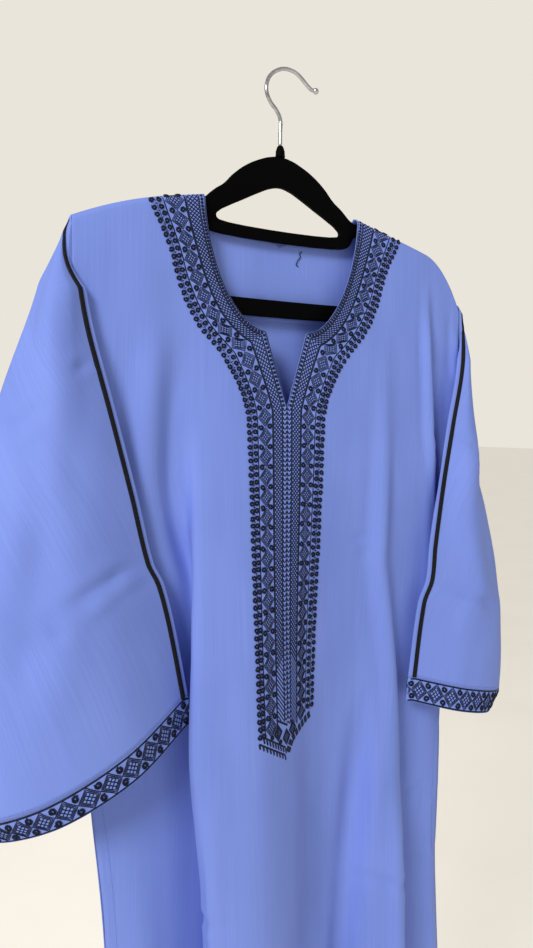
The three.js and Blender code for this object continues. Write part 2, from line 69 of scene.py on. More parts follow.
# one row for each crest or valley line, left seam to right seam: across, then forward
frontFolds = [
    ("left seam", [-197, -197, -189, -168, -214], [0, 0, 1, 1, 3]),
    ("left strip", [-172, -172, -161, -138, -176], [9, 8, 7, 9, 16]),
    ("left ridge", [-140, -136, -130, -115, -140], [10, 11, 7, 4, 4]),
    ("left valley", [-112, -108, -84, -74, -92], [9, 9, 2, -2, -3]),
    ("left edge", [-92, -92, -105, -92, -116], [9, 12, 35, 40, 56]),
    ("left bulge", [-64, -70, -76, -66, -78], [9, 15, 43, 53, 74]),
    ("placket left", [-38, -44, -50, -44, -38], [9, 17, 46, 55, 74]),
    ("centre", [-2, -6, -14, -12, -4], [9, 18, 36, 41, 54]),
    ("placket right", [36, 34, 20, 18, 24], [9, 18, 21, 19, 24]),
    ("skirt valley", [70, 72, 70, 59, 56], [9, 17, 13, 5, 6]),
    ("skirt ridge", [104, 105, 106, 108, 112], [9, 17, 20, 35, 58]),
    ("behind ridge", [132, 132, 124, 124, 134], [10, 15, 10, 3, 2]),
    ("right panel", [158, 154, 154, 152, 166], [10, 14, 7, 4, 10]),
    ("right edge", [176, 168, 170, 170, 192], [9, 13, 8, 5, 12]),
    ("right recess", [196, 184, 179, 174, 208], [8, 2, 5, 6, 8]),
    ("right seam", [213, 210, 195, 184, 226], [0, 0, 1, 1, 3]),
]
backFolds = [
    ("left seam", [-197, -197, -189, -168, -214], [0, 0, 1, 1, 3]),
    ("fold 1", [-165, -165, -152, -146, -188], [-8, -11, -14, -26, -30]),
    ("fold 2", [-130, -128, -116, -112, -150], [-8, -13, -13, -10, -9]),
    ("fold 3", [-92, -92, -84, -82, -104], [-8, -15, -25, -32, -36]),
    ("fold 4", [-48, -48, -46, -44, -56], [-7.5, -12, -14, -11, -8]),
    ("centre", [0, 0, 2, 4, 6], [-7.5, -14, -26, -33, -37]),
    ("fold 5", [48, 48, 46, 46, 58], [-7.5, -12, -13, -9, -7]),
    ("fold 6", [92, 92, 88, 86, 104], [-8, -15, -26, -31, -36]),
    ("fold 7", [134, 132, 124, 120, 146], [-8, -13, -12, -9, -8]),
    ("fold 8", [176, 172, 164, 158, 192], [-8, -11, -16, -25, -30]),
    ("right seam", [213, 210, 195, 184, 226], [0, 0, 1, 1, 3]),
]
bandEdge = {
    "z": [-130, -176, -210, -244, -273, -308, -340, -632],
    "half": [136, 116, 106, 90, 66, 46, 41, 39],
}



def clamp(value, low=0.0, high=1.0):
    return np.minimum(high, np.maximum(low, value))


def mix(a, b, t):
    return a + (b - a) * t


def easeStep(value):
    t = clamp(value)
    return t * t * (3 - 2 * t)


def hermite(a, b, slopeA, slopeB, t):
    # a cubic from a to b with a given slope at either end
    return (
        a * (2 * t**3 - 3 * t**2 + 1)
        + slopeA * (t**3 - 2 * t**2 + t)
        + b * (3 * t**2 - 2 * t**3)
        + slopeB * (t**3 - t**2)
    )


def smoothAt(keys, values, at):
    keys = np.asarray(keys, float)
    values = np.asarray(values, float)
    if keys[0] > keys[-1]:
        keys, values = keys[::-1], values[::-1]
    at = clamp(np.asarray(at, float), keys[0], keys[-1])
    i = np.clip(np.searchsorted(keys, at) - 1, 0, len(keys) - 2)
    slopes = np.empty(len(keys))
    slopes[0] = (values[1] - values[0]) / (keys[1] - keys[0])
    slopes[-1] = (values[-1] - values[-2]) / (keys[-1] - keys[-2])
    slopes[1:-1] = (values[2:] - values[:-2]) / (keys[2:] - keys[:-2])
    width = keys[i + 1] - keys[i]
    t = (at - keys[i]) / width
    return hermite(values[i], values[i + 1], slopes[i] * width, slopes[i + 1] * width, t)


def curveThrough(points, perSpan=10):
    # a centripetal curve through each row of points, shape (rows, points, axes)
    before = 2 * points[:, :1] - points[:, 1:2]
    after = 2 * points[:, -1:] - points[:, -2:-1]
    p = np.concatenate([before, points, after], axis=1)
    step = np.maximum(np.linalg.norm(np.diff(p, axis=1), axis=2) ** 0.5, 1e-4)[..., None]
    p0, p1, p2, p3 = p[:, :-3], p[:, 1:-2], p[:, 2:-1], p[:, 3:]
    d0, d1, d2 = step[:, :-2], step[:, 1:-1], step[:, 2:]
    t1 = ((p1 - p0) / d0 - (p2 - p0) / (d0 + d1) + (p2 - p1) / d1) * d1
    t2 = ((p2 - p1) / d1 - (p3 - p1) / (d1 + d2) + (p3 - p2) / d2) * d1
    t = (np.arange(perSpan) / perSpan)[None, None, :, None]
    rows = hermite(*(value[:, :, None, :] for value in (p1, p2, t1, t2)), t)
    return np.concatenate([rows.reshape(len(points), -1, points.shape[2]), points[:, -1:]], axis=1)


def distances(points):
    # how far along its line each point lies
    length = np.cumsum(np.linalg.norm(np.diff(points, axis=-2), axis=-1), -1)
    return np.concatenate([np.zeros((*length.shape[:-1], 1)), length], -1)


def tableAt(table, row, column):
    # a table's value between its rows and columns
    row, column = (clamp(at, 0, count - 1.001) for at, count in zip((row, column), table.shape))
    r, c = row.astype(int), column.astype(int)
    fr, fc = ((part[..., None] if table.ndim > 2 else part) for part in (row - r, column - c))
    top = mix(table[r, c], table[r, c + 1], fc)
    bottom = mix(table[r + 1, c], table[r + 1, c + 1], fc)
    return mix(top, bottom, fr)


def seamSpread(z):
    opening = easeStep((z - garment["underarmZ"]) / armhole["closingHeight"])
    inPocket = clamp((z - pocket["bottomZ"]) / (pocket["topZ"] - pocket["bottomZ"]))
    gape = pocket["gape"] * np.sin(math.pi * inPocket) ** 0.6
    return mix(armhole["shut"], armhole["open"], opening) + gape


def shoulderDrop(reach):
    drop = np.zeros_like(np.asarray(reach, float))
    for side, shoulder in shoulders.items():
        on = np.asarray(reach) * side > 0
        far = np.abs(reach)
        slope = np.maximum(0, far - garment["neckHalf"]) * shoulder["slope"]
        fall = np.maximum(0, far - shoulder["bend"]) ** 2 * shoulder["fall"]
        drop = np.where(on, slope + fall, drop)
    return drop


def neckFade(level):
    return clamp((level - garment["underarmZ"]) / (garment["neckZ"] - garment["underarmZ"]))


creaseShape = {
    "spread": 3.2,  # how many widths away a crease is still felt
    "fadeShare": 0.28,
    "sink": 0.35,
    "sinkAt": 1.7,
    "hemGap": 10.0,  # a crease that comes nearer to the hem than this runs off it and doesn't fade
}


def creaseDepth(creases, reach, level):
    # soft uneven troughs and ridges along short lines drawn on the cloth
    depth = np.zeros(np.shape(reach))
    for count, (breadth, height, points) in enumerate(creases):
        line = np.array(points, float)
        low = line.min(0) - creaseShape["spread"] * breadth
        high = line.max(0) + creaseShape["spread"] * breadth
        near = (reach > low[0]) & (reach < high[0]) & (level > low[1]) & (level < high[1])
        if not near.any():
            continue
        spots = np.stack([reach[near], level[near]], -1)
        best = np.full(len(spots), 1e9)
        at = np.zeros(len(spots))
        travelled = 0.0
        total = distances(line)[-1]
        for a, b in zip(line[:-1], line[1:]):
            run = b - a
            length = np.linalg.norm(run)
            t = clamp((spots - a) @ run / length**2)
            gap = np.linalg.norm(spots - a - t[:, None] * run, axis=1)
            closer = gap < best
            best = np.where(closer, gap, best)
            at = np.where(closer, (travelled + t * length) / total, at)
            travelled += length
        wander = 1 + 0.28 * np.sin(at * 7.3 + count * 2.1) + 0.16 * np.sin(at * 17 + count)
        ends = 1
        if line[:, 1].min() > garment["hemZ"] + creaseShape["hemGap"]:
            ends = easeStep(at / creaseShape["fadeShare"]) * easeStep((1 - at) / creaseShape["fadeShare"])
        width = breadth * (0.75 + 0.25 * wander)
        beside = np.exp(-(((best - creaseShape["sinkAt"] * width) / width) ** 2))
        profile = np.exp(-((best / width) ** 2)) - creaseShape["sink"] * beside
        depth[near] += height * wander * ends * profile
    return depth


class Cloth:
    # a sheet as a map from its own coordinates to a place, both in millimetres
    def normals(self, across, level, place=None):
        place = place or self.place
        down = place(across, level - 1.0) - place(across, level + self.upStep)
        along = place(across + self.sideStep, level) - place(across - self.sideStep, level)
        normal = np.cross(down, along) * self.facing
        return normal / np.maximum(1e-9, np.linalg.norm(normal, axis=-1, keepdims=True))

    def place(self, across, level, lift=0.0):
        across, level = np.broadcast_arrays(np.asarray(across, float), np.asarray(level, float))
        shift = self.creasing(across, level)[..., None]
        spots = self.smooth(across, level) + self.normals(across, level, self.smooth) * shift
        if np.any(lift):
            spots = spots + self.normals(across, level) * np.asarray(lift, float)[..., None]
        return spots


class Panel(Cloth):
    # the front or the back: its coordinates are the reach from the centre and the level
    upStep, sideStep = 0.2, 1.0

    def __init__(self, folds, facing, creases):
        self.facing = facing
        self.creases = creases
        self.levels = np.arange(-1545.0, -99.0, 3.0)
        control = np.stack([
            np.stack([smoothAt(foldHeights, fold[axis], self.levels) for fold in folds], 1)
            for axis in (1, 2)
        ], 2)
        for seam in (0, -1):
            control[:, seam, 1] += facing * seamSpread(self.levels)
        curve = curveThrough(control)
        along = distances(curve)
        centre = 10 * [name for name, _, _ in folds].index("centre")
        along -= along[:, centre : centre + 1]
        self.leftEnd, self.rightEnd = along[:, 0], along[:, -1]
        self.reaches = np.arange(math.floor(along.min()) - 3.0, along.max() + 4.0, 1.0)
        self.table = np.empty((len(curve), len(self.reaches), 2))
        for row, (spots, distance) in enumerate(zip(curve, along)):
            for axis in range(2):
                self.table[row, :, axis] = np.interp(self.reaches, distance, spots[:, axis])
            past = self.reaches - clamp(self.reaches, distance[0], distance[-1])
            self.table[row, :, 0] += past  # the last stretch runs straight on
        self.step = self.levels[1] - self.levels[0]

    def seamReach(self, side, level):
        # how far the cloth reaches from the centre to the side seam at a level
        z = level - shoulderDrop(np.array(side * shoulders[side]["tip"])) * neckFade(level)
        return np.abs(np.interp(z, self.levels, self.leftEnd if side < 0 else self.rightEnd))

    def creasing(self, reach, level):
        return creaseDepth(self.creases, reach, level)

    def smooth(self, reach, level):
        z = level - shoulderDrop(reach) * neckFade(level)
        spot = tableAt(self.table, (z - self.levels[0]) / self.step, reach - self.reaches[0])
        below = clamp((garment["neckZ"] - level) / garment["rollRadius"])
        rolled = np.sqrt(np.maximum(0, 1 - (1 - below) ** 2))
        out = mix(self.facing * garment["seamHalf"], spot[..., 1], rolled)
        return np.stack([spot[..., 0] + garment["centreX"], -out, z], -1)


def neckHalfFront(level):
    drop = garment["neckZ"] - garment["cornerZ"]
    t = clamp((garment["neckZ"] - level) / drop)
    curve = (1 - t ** garment["neckPower"]) ** (1 / garment["neckPower"])
    above = mix(garment["cornerHalf"], garment["neckHalf"], curve)
    slit = (level - garment["slitZ"]) / (garment["cornerZ"] - garment["slitZ"])
    return np.where(level >= garment["cornerZ"], above, garment["cornerHalf"] * clamp(slit))


def neckHalfBack(level):
    t = clamp((garment["neckZ"] - level) / garment["backNeckDrop"])
    return garment["neckHalf"] * (1 - t**3) ** 0.5


def bandHalf(level):
    return smoothAt(bandEdge["z"], bandEdge["half"], level)


# each crease is (width, depth, its line on the cloth): positive depths stand out, negative ones sink
frontCreases = [
    (13, 4.4, [(-122, -225), (-130, -330), (-134, -440), (-128, -520)]),
    (7, -1.8, [(-109, -285), (-113, -380), (-117, -470)]),
    (7, 3.2, [(-117, -450), (-107, -540), (-102, -620), (-108, -800), (-112, -1020)]),
    (10, -3.6, [(-130, -480), (-124, -570), (-124, -720), (-130, -980)]),
    (13, -7.5, [(106, -560), (93, -720), (82, -850), (76, -1120)]),
    (9, 5.2, [(116, -205), (112, -312), (112, -466), (134, -580), (146, -680), (146, -860), (140, -1150)]),
    (5, 4.0, [(168, -150), (168, -252), (172, -330), (191, -434), (196, -560)]),
    (9, -7.5, [(180, -155), (180, -252), (185, -330), (205, -440), (208, -600)]),
    (5, 1.8, [(211, -150), (215, -256)]),
    (4, -0.9, [(74, -444), (94, -441), (116, -449)]),
    (3.5, 0.9, [(72, -451), (96, -449), (110, -455)]),
    (5, -1.5, [(86, -781), (110, -770), (164, -789)]),
    (4.5, -1.8, [(178, -708), (202, -708), (228, -721)]),
    (4.5, -1.5, [(194, -766), (212, -781), (232, -795)]),
    (4.5, -1.4, [(-130, -762), (-90, -746), (-60, -751)]),
    (6, -1.6, [(-60, -955), (-8, -970), (40, -962)]),
    (6, -1.7, [(60, -1180), (118, -1165), (170, -1180)]),
    (6, -1.5, [(-170, -1240), (-110, -1262), (-60, -1255)]),
    (10, 2.2, [(20, -1340), (26, -1525)]),
]
backCreases = [
    (6, -1.4, [(-150, -330), (-90, -318), (-40, -326)]),
    (11, 2.2, [(30, -205), (48, -300), (44, -420)]),
    (10, -1.8, [(-62, -196), (-70, -290), (-64, -380)]),
    (4, 0.9, [(-28, -214), (-12, -222), (8, -219)]),
    (6, -1.6, [(40, -520), (106, -540), (166, -531)]),
    (5, -1.5, [(-170, -640), (-120, -655), (-64, -648)]),
    (6, -1.6, [(-20, -790), (46, -806), (110, -800)]),
    (12, 2.6, [(-130, -520), (-124, -760), (-132, -980)]),
    (12, -2.8, [(120, -600), (128, -820), (118, -1080)]),
    (6, -1.6, [(-110, -1040), (-50, -1058), (0, -1050)]),
    (6, -1.5, [(70, -1210), (130, -1228), (176, -1220)]),
]
front = Panel(frontFolds, 1, frontCreases)
back = Panel(backFolds, -1, backCreases)
print("stage: cloth maps ready")

def addObject(name, data):
    obj = bpy.data.objects.new(name, data)
    bpy.context.scene.collection.objects.link(obj)
    return obj


def mend(mesh, weld=0.0, thin=0.0, holeSides=0, outward=True):
    # joins points closer than weld, drops faces thinner than thin, fills holes, turns faces outwards
    shell = bmesh.new()
    shell.from_mesh(mesh)
    if weld:
        bmesh.ops.remove_doubles(shell, verts=shell.verts, dist=weld * mm)
    if thin:
        bmesh.ops.dissolve_degenerate(shell, dist=thin * mm, edges=shell.edges)
    if holeSides:
        rims = [edge for edge in shell.edges if edge.is_boundary]
        bmesh.ops.holes_fill(shell, edges=rims, sides=holeSides)
    if outward:
        bmesh.ops.recalc_face_normals(shell, faces=shell.faces)
    shell.to_mesh(mesh)
    shell.free()


def shadeSmooth(mesh):
    mesh.polygons.foreach_set("use_smooth", [True] * len(mesh.polygons))


def gridMesh(name, patches, material, thickness=0.0):
    # patches are (points, uv, flip): grids of places in millimetres and their cloth coordinates
    verts, faces, uvs = [], [], []
    start = 0
    for points, uv, flip in patches:
        rows, columns = points.shape[:2]
        verts.append(points.reshape(-1, 3) * mm)
        index = start + np.arange(rows * columns).reshape(rows, columns)
        quads = np.stack([index[:-1, :-1], index[1:, :-1], index[1:, 1:], index[:-1, 1:]], -1)
        quads = quads.reshape(-1, 4)
        faces.append(quads[:, ::-1] if flip else quads)
        uvs.append(uv.reshape(-1, 2) * mm)
        start += rows * columns
    verts, faces, uvs = np.concatenate(verts), np.concatenate(faces), np.concatenate(uvs)
    mesh = bpy.data.meshes.new(name)
    mesh.from_pydata(verts.tolist(), [], faces.tolist())
    layer = mesh.uv_layers.new(name="cloth")
    loops = np.empty(len(mesh.loops), int)
    mesh.loops.foreach_get("vertex_index", loops)
    layer.data.foreach_set("uv", uvs[loops].astype(np.float32).ravel())
    mend(mesh, weld=0.02, thin=0.02, outward=False)
    mesh.materials.append(material)
    shadeSmooth(mesh)
    obj = addObject(name, mesh)
    if thickness:
        wall = obj.modifiers.new("wall", "SOLIDIFY")
        wall.thickness = thickness * mm
        wall.offset = 0.0
        wall.use_even_offset = False
    return obj


def finishPiece(obj, slot, *nodes):
    if nodes:
        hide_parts(*nodes)
    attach(obj, "root")
    return obj


def layFlat(obj, width, length, area):
    # the sheet's size before it was hung, from millimetres
    print("stage:", obj.name, "flat", round(width), "x", round(length), "area m2", round(area * 1e-6, 3))


def addNode(tree, kind, inputs=None, **settings):
    node = tree.nodes.new(kind)
    for name, value in settings.items():
        setattr(node, name, value)
    for name, value in (inputs or {}).items():
        if isinstance(value, bpy.types.NodeSocket):
            tree.links.new(value, node.inputs[name])
        else:
            node.inputs[name].default_value = value
    return node


def mathNode(tree, operation, *values):
    node = addNode(tree, "ShaderNodeMath", dict(enumerate(values)), operation=operation)
    return node.outputs[0]


def newMaterial(name, roughness, sheen=None, metallic=0.0, shine=0.5):
    # sheen is (weight, roughness, tint)
    material = bpy.data.materials.new(name)
    material.use_nodes = True
    shader = material.node_tree.nodes["Principled BSDF"]
    values = {"Roughness": roughness, "Metallic": metallic, "Specular IOR Level": shine}
    if sheen:
        values.update({"Sheen Weight": sheen[0], "Sheen Roughness": sheen[1], "Sheen Tint": (*sheen[2], 1)})
    for socket, value in values.items():
        shader.inputs[socket].default_value = value
    return material, material.node_tree, shader


def stretchedNoise(tree, coordinates, scale, detail=2.0):
    # noise stretched by a scale for each axis
    laid = addNode(tree, "ShaderNodeMapping", {"Vector": coordinates, "Scale": scale})
    noise = addNode(tree, "ShaderNodeTexNoise", {
        "Vector": laid.outputs["Vector"], "Scale": 1.0, "Detail": detail, "Roughness": 0.55,
    })
    return noise.outputs["Fac"]


def objectNoise(tree, scale, detail):
    place = addNode(tree, "ShaderNodeTexCoord").outputs["Object"]
    return stretchedNoise(tree, place, scale, detail)


def rampInto(tree, target, value, *stops):
    node = addNode(tree, "ShaderNodeValToRGB", {"Fac": value})
    elements = node.color_ramp.elements
    for i, (place, colour) in enumerate(stops):
        element = elements[i] if i < 2 else elements.new(place)
        element.position = place
        element.color = (*colour, 1)
    tree.links.new(node.outputs["Color"], target)


def bumpInto(tree, shader, height, strength, distance):
    bump = addNode(tree, "ShaderNodeBump", {"Height": height, "Strength": strength, "Distance": distance})
    tree.links.new(bump.outputs["Normal"], shader.inputs["Normal"])


blueLook = {
    "shade": (0.156, 0.232, 0.65),
    "body": (0.172, 0.252, 0.7),
    "light": (0.19, 0.275, 0.745),
    "roughness": 0.7,
    "sheen": (0.12, 0.4, (0.7, 0.78, 1.0)),
    "twillPitch": 0.75 * mm,
}


def makeBlueCloth():
    material, tree, shader = newMaterial("blueTwill", blueLook["roughness"], blueLook["sheen"], shine=0.2)
    cloth = addNode(tree, "ShaderNodeUVMap", uv_map="cloth").outputs["UV"]
    slubs = stretchedNoise(tree, cloth, (1500.0, 9.0, 1.0), 3.0)
    threads = stretchedNoise(tree, cloth, (3600.0, 60.0, 1.0), 1.0)
    clouds = stretchedNoise(tree, cloth, (14.0, 7.0, 1.0), 2.0)
    tone = mathNode(tree, "MULTIPLY_ADD", slubs, 0.5, mathNode(tree, "MULTIPLY", clouds, 0.5))
    shades = (0.36, blueLook["shade"]), (0.62, blueLook["light"]), (0.5, blueLook["body"])
    rampInto(tree, shader.inputs["Base Color"], tone, *shades)
    twill = addNode(tree, "ShaderNodeTexWave", {
        "Vector": cloth, "Scale": 0.314 / blueLook["twillPitch"], "Distortion": 0.6,
        "Detail": 1.0, "Detail Scale": 0.4,
    }, bands_direction="DIAGONAL")
    height = mathNode(tree, "MULTIPLY_ADD", threads, 0.6, twill.outputs["Fac"])
    bumpInto(tree, shader, height, 0.35, 0.12 * mm)
    rough = mathNode(tree, "MULTIPLY_ADD", slubs, 0.2, blueLook["roughness"] - 0.1)
    tree.links.new(rough, shader.inputs["Roughness"])
    return material


def makeThread(name, dark, light, grain, sheen, shine=0.12):
    material, tree, shader = newMaterial(name, 0.6, sheen, shine=shine)
    fibres = objectNoise(tree, (grain, grain, grain * 0.45), 2.0)
    rampInto(tree, shader.inputs["Base Color"], fibres, (0.3, dark), (0.7, light))
    bumpInto(tree, shader, fibres, 0.5, 0.15 * mm)
    return material


def makeSteel():
    material, tree, shader = newMaterial("polishedWire", 0.16, None, 1.0)
    wear = objectNoise(tree, (160.0, 160.0, 420.0), 3.0)
    rampInto(tree, shader.inputs["Base Color"], wear, (0.3, (0.4, 0.41, 0.43)), (0.7, (0.58, 0.59, 0.61)))
    rampInto(tree, shader.inputs["Roughness"], wear, (0.35, (0.1, 0.1, 0.1)), (0.75, (0.26, 0.26, 0.26)))
    bumpInto(tree, shader, wear, 0.08, 0.1 * mm)
    return material


surround = {"colour": (0.823, 0.783, 0.701), "seen": 1.0, "light": 0.58, "floorGlow": 0.4}


def makeFloor():
    material, tree, shader = newMaterial("paleFloor", 0.85)
    grain = objectNoise(tree, (3.0, 3.0, 3.0), 3.0)
    rampInto(tree, shader.inputs["Base Color"], grain, (0.3, (0.78, 0.76, 0.73)), (0.7, (0.82, 0.8, 0.77)))
    shader.inputs["Emission Color"].default_value = (*surround["colour"], 1)
    shader.inputs["Emission Strength"].default_value = surround["floorGlow"]
    return material


# each thread's dark and light colour, grain, sheen and shine
threadLooks = {
    "navyThread": ((0.004, 0.006, 0.018), (0.015, 0.021, 0.06), 1500.0, (0.06, 0.4, (0.5, 0.6, 0.9))),
    "blackBraid": ((0.002, 0.002, 0.003), (0.012, 0.012, 0.016), 1200.0, (0.05, 0.5, (0.6, 0.6, 0.7))),
    "blackFlock": (
        (0.0002, 0.0002, 0.0003), (0.0016, 0.0016, 0.002), 2600.0, (0.008, 0.5, (0.5, 0.5, 0.55)), 0.03,
    ),
    "blueThread": ((0.1, 0.15, 0.5), (0.2, 0.27, 0.72), 1500.0, (0.08, 0.4, (0.7, 0.8, 1.0))),
}
blueCloth = makeBlueCloth()
threads = [makeThread(name, *look) for name, look in threadLooks.items()]
navyThread, blackBraid, blackFlock, blueThread = threads
wireSteel = makeSteel()

panels = {"bandColumns": 16, "frontColumns": 52, "backColumns": 56, "rowStep": 4.6}
rollRows = [0, 0.25, 0.8, 1.7, 3.0, 4.6]  # rows close together where the cloth rolls over the shoulder
rollEnd = 6.5


def levelRows():
    top, bottom = garment["neckZ"] - rollEnd, garment["hemZ"]
    rest = np.linspace(top, bottom, int((top - bottom) / panels["rowStep"]) + 1)
    return np.concatenate([garment["neckZ"] - np.array(rollRows), rest])


def halfPanel(panel, side, levels, neckHalf, counts):
    start = neckHalf(levels)[:, None]
    end = panel.seamReach(side, levels)[:, None]
    t = np.linspace(0, 1, counts[0] + 1)[None]
    if panel.facing > 0:
        middle = bandHalf(levels)[:, None]
        u = np.linspace(0, 1, counts[1] + 1)[None, 1:]
        reach = side * np.concatenate([mix(start, middle, t), mix(middle, end, u)], 1)
    else:
        reach = side * mix(start, end, t)
    level = np.broadcast_to(levels[:, None], reach.shape)
    return panel.place(reach, level), np.stack([reach, level], -1), side * panel.facing < 0


def frontLevels():
    neck, corner, slit = garment["neckZ"], garment["cornerZ"], garment["slitZ"]
    rows = levelRows()
    keep = rows[(rows < neck - 6) & (np.abs(rows - corner) > 2) & (np.abs(rows - slit) > 2)]
    close = corner + np.array([0.3, 1.2, 2.8, 0.0])
    return np.sort(np.concatenate([rows[: len(rollRows)], keep, close, [slit]]))[::-1]


def backLevels():
    low = garment["neckZ"] - garment["backNeckDrop"]
    rows = levelRows()
    close = low + np.array([0.15, 0.6, 1.4, 2.6, 0.0])
    return np.sort(np.concatenate([rows[np.abs(rows - low - 1) > 2], close]))[::-1]


def uvArea(uv):
    # flat area of a grid of cloth coordinates, in square millimetres
    corners = uv[:-1, :-1], uv[1:, :-1], uv[1:, 1:], uv[:-1, 1:]
    following = corners[1:] + corners[:1]
    return abs(sum(
        0.5 * np.sum(a[..., 0] * b[..., 1] - b[..., 0] * a[..., 1]) for a, b in zip(corners, following)
    ))


for name, panel, levels, neckHalf, counts in (
    ("front", front, frontLevels(), neckHalfFront, (panels["bandColumns"], panels["frontColumns"])),
    ("back", back, backLevels(), neckHalfBack, (panels["backColumns"],)),
):
    patches = [halfPanel(panel, side, levels, neckHalf, counts) for side in (-1, 1)]
    obj = gridMesh("cloth_" + name, patches, blueCloth, garment["clothThickness"])
    finishPiece(obj, "cloth", name)
    width = 2 * max(np.abs(uv[..., 0]).max() for _, uv, _ in patches)
    layFlat(obj, width, garment["neckZ"] - garment["hemZ"], sum(uvArea(uv) for _, uv, _ in patches))

sleeveColumns = ("z", "pipe", "pipeOut", "outer", "swell", "back", "drop")
sleeveTables = {
    -1: [
        (-178, 196, 8, 203, 2, -8, 0),
        (-212, 195, 16, 218, 5, -9, 0),
        (-260, 187, 20, 234, 9, -12, 0.02),
        (-320, 172, 24, 254, 14, -16, 0.05),
        (-390, 154, 25, 272, 20, -20, 0.12),
        (-446, 140, 24, 281, 26, -22, 0.2),
        (-464, 131, 23.5, 282, 28, -23, 0.23),
        (-500, 121, 22, 284, 30, -24, 0.3),
        (-563, 108, 20, 268, 32, -24, 0.45),
        (-586, 104, 20, 254, 32, -24, 0.436),
    ],
    1: [
        (-213, 214, 11, 220, 2, -8, 0),
        (-238, 211, 16.5, 221.5, 4, -9, 0),
        (-280, 206, 18, 222, 6, -12, 0.02),
        (-330, 190, 23, 227, 10, -16, 0.04),
        (-395, 174, 26, 241, 14, -20, 0.1),
        (-455, 163, 26, 260, 18, -22, 0.16),
        (-490, 159, 25.5, 268, 20, -23, 0.19),
        (-512, 149, 25, 273, 22, -24, 0.22),
        (-585, 138, 23, 272, 24, -24, 0.26),
        (-609, 135, 23, 256, 24, -24, 0.27),
    ],
}
sleeveBuild = {
    "perSpan": 12,
    "sections": 260,
    "rows": 104,
    "rowPower": 1.1,
    "foldLip": 5.0,
    "openingHeight": 60.0,
    "cuffHeight": 23.0,
    "cuffRows": 10,
    "pipingPoint": 5,
    "capShares": [0, 0.12, 0.26, 0.42, 0.6, 0.8],  # rows between the tip and the first full section
    "seamShare": 0.02,  # creases fade out this far from the seam
}


class Sleeve(Cloth):
    # its coordinates: turn runs 0 to 1 from the front seam round to the back seam, then the height
    upStep, sideStep = 1.0, 0.004

    def __init__(self, side, creases):
        self.side = self.facing = side
        self.creases = creases
        self.rows = sleeveTables[side]
        self.seam = shoulders[side]["tip"] + armhole["seamGap"]
        self.tipZ = garment["neckZ"] - float(shoulderDrop(np.array([side * shoulders[side]["tip"]]))[0])
        self.start = self.rows[0][0]
        self.cuffEnd = self.rows[-1][0]
        self.end = self.cuffEnd + sleeveBuild["cuffHeight"]
        self.heights = np.linspace(self.start, self.cuffEnd - 1, sleeveBuild["sections"])
        curves, drops, pipes = self.sections(self.heights)
        self.around = distances(curves)
        self.columns = curves.shape[1]
        hang = np.stack([drops, pipes], -1)[:, None]
        self.table = np.concatenate([curves, np.broadcast_to(hang, curves.shape)], -1)

    def column(self, name, z):
        at = sleeveColumns.index(name)
        return smoothAt([row[0] for row in self.rows], [row[at] for row in self.rows], z)

    def sections(self, z):
        pipe, pipeOut, outer, swell, behind, drop = (self.column(name, z) for name in sleeveColumns[1:])
        seam = np.full_like(z, self.seam)
        seamZ = z - drop * np.maximum(0, seam - pipe)
        spread = np.where(seamZ > garment["underarmZ"], seamSpread(seamZ), 0)
        opened = clamp((self.tipZ - z) / sleeveBuild["openingHeight"])
        lip = pipe - sleeveBuild["foldLip"] * opened
        hung = [
            (seam, spread),
            (seam + 3, mix(spread, 12, 0.55)),
            (mix(seam, pipe, 0.5), mix(13, pipeOut - 5, 0.5)),
            (lip + 1.6, pipeOut - 4.6),
            (lip - 0.4, pipeOut - 2),
            (pipe, pipeOut),
            (mix(pipe, outer, 0.35), pipeOut + swell * 0.8),
            (mix(pipe, outer, 0.72), pipeOut * 0.8 + swell * 0.75),
            (outer - 4, np.full_like(z, 9)),
            (outer, np.full_like(z, -1)),
            (mix(outer, seam, 0.35), behind),
            (mix(outer, seam, 0.8), behind * 0.8),
            (seam, -spread),
        ]
        points = []
        for i, (across, out) in enumerate(hung):
            turn = math.pi * i / (len(hung) - 1)
            roundAcross = seam + np.maximum(0, outer - seam) * math.sin(turn)
            roundOut = spread * math.cos(turn)
            points.append(np.stack([mix(roundAcross, across, opened), mix(roundOut, out, opened)], -1))
        return curveThrough(np.stack(points, 1), sleeveBuild["perSpan"]), drop, pipe

    def tableSpot(self, turn, z):
        last = len(self.heights) - 1
        row = clamp((z - self.start) / (self.heights[-1] - self.start) * last, 0, last - 0.001)
        return row, turn * (self.columns - 1)

    def smooth(self, turn, z):
        across, out, drop, pipe = np.moveaxis(tableAt(self.table, *self.tableSpot(turn, z)), -1, 0)
        height = z - drop * np.maximum(0, across - pipe)
        return np.stack([self.side * across + garment["centreX"], -out, height], -1)

    def clothAround(self, turn, z):
        row, column = self.tableSpot(turn, z)
        return tableAt(self.around, np.floor(row), column)

    def creasing(self, turn, z):
        share = sleeveBuild["seamShare"]
        depth = creaseDepth(self.creases, self.clothAround(turn, z), z)
        return depth * easeStep(turn / share) * easeStep((1 - turn) / share)

    def cap(self, turn, share, slope=None):
        # places between the shoulder's tip and the first full section
        gap = self.start - self.tipZ
        first = self.place(turn, self.start)
        if slope is None:
            slope = (self.place(turn, self.start - 1.0) - first) * -gap
        lean = np.array([0, 0, -1.0]) * abs(gap) * 0.6
        tip = np.stack([
            np.full_like(turn, self.side * self.seam + garment["centreX"]),
            -armhole["open"] * np.cos(math.pi * turn),
            self.tipZ - garment["rollRadius"] * (1 - np.sin(math.pi * turn)),
        ], -1)
        return hermite(tip, first, lean, slope, share)


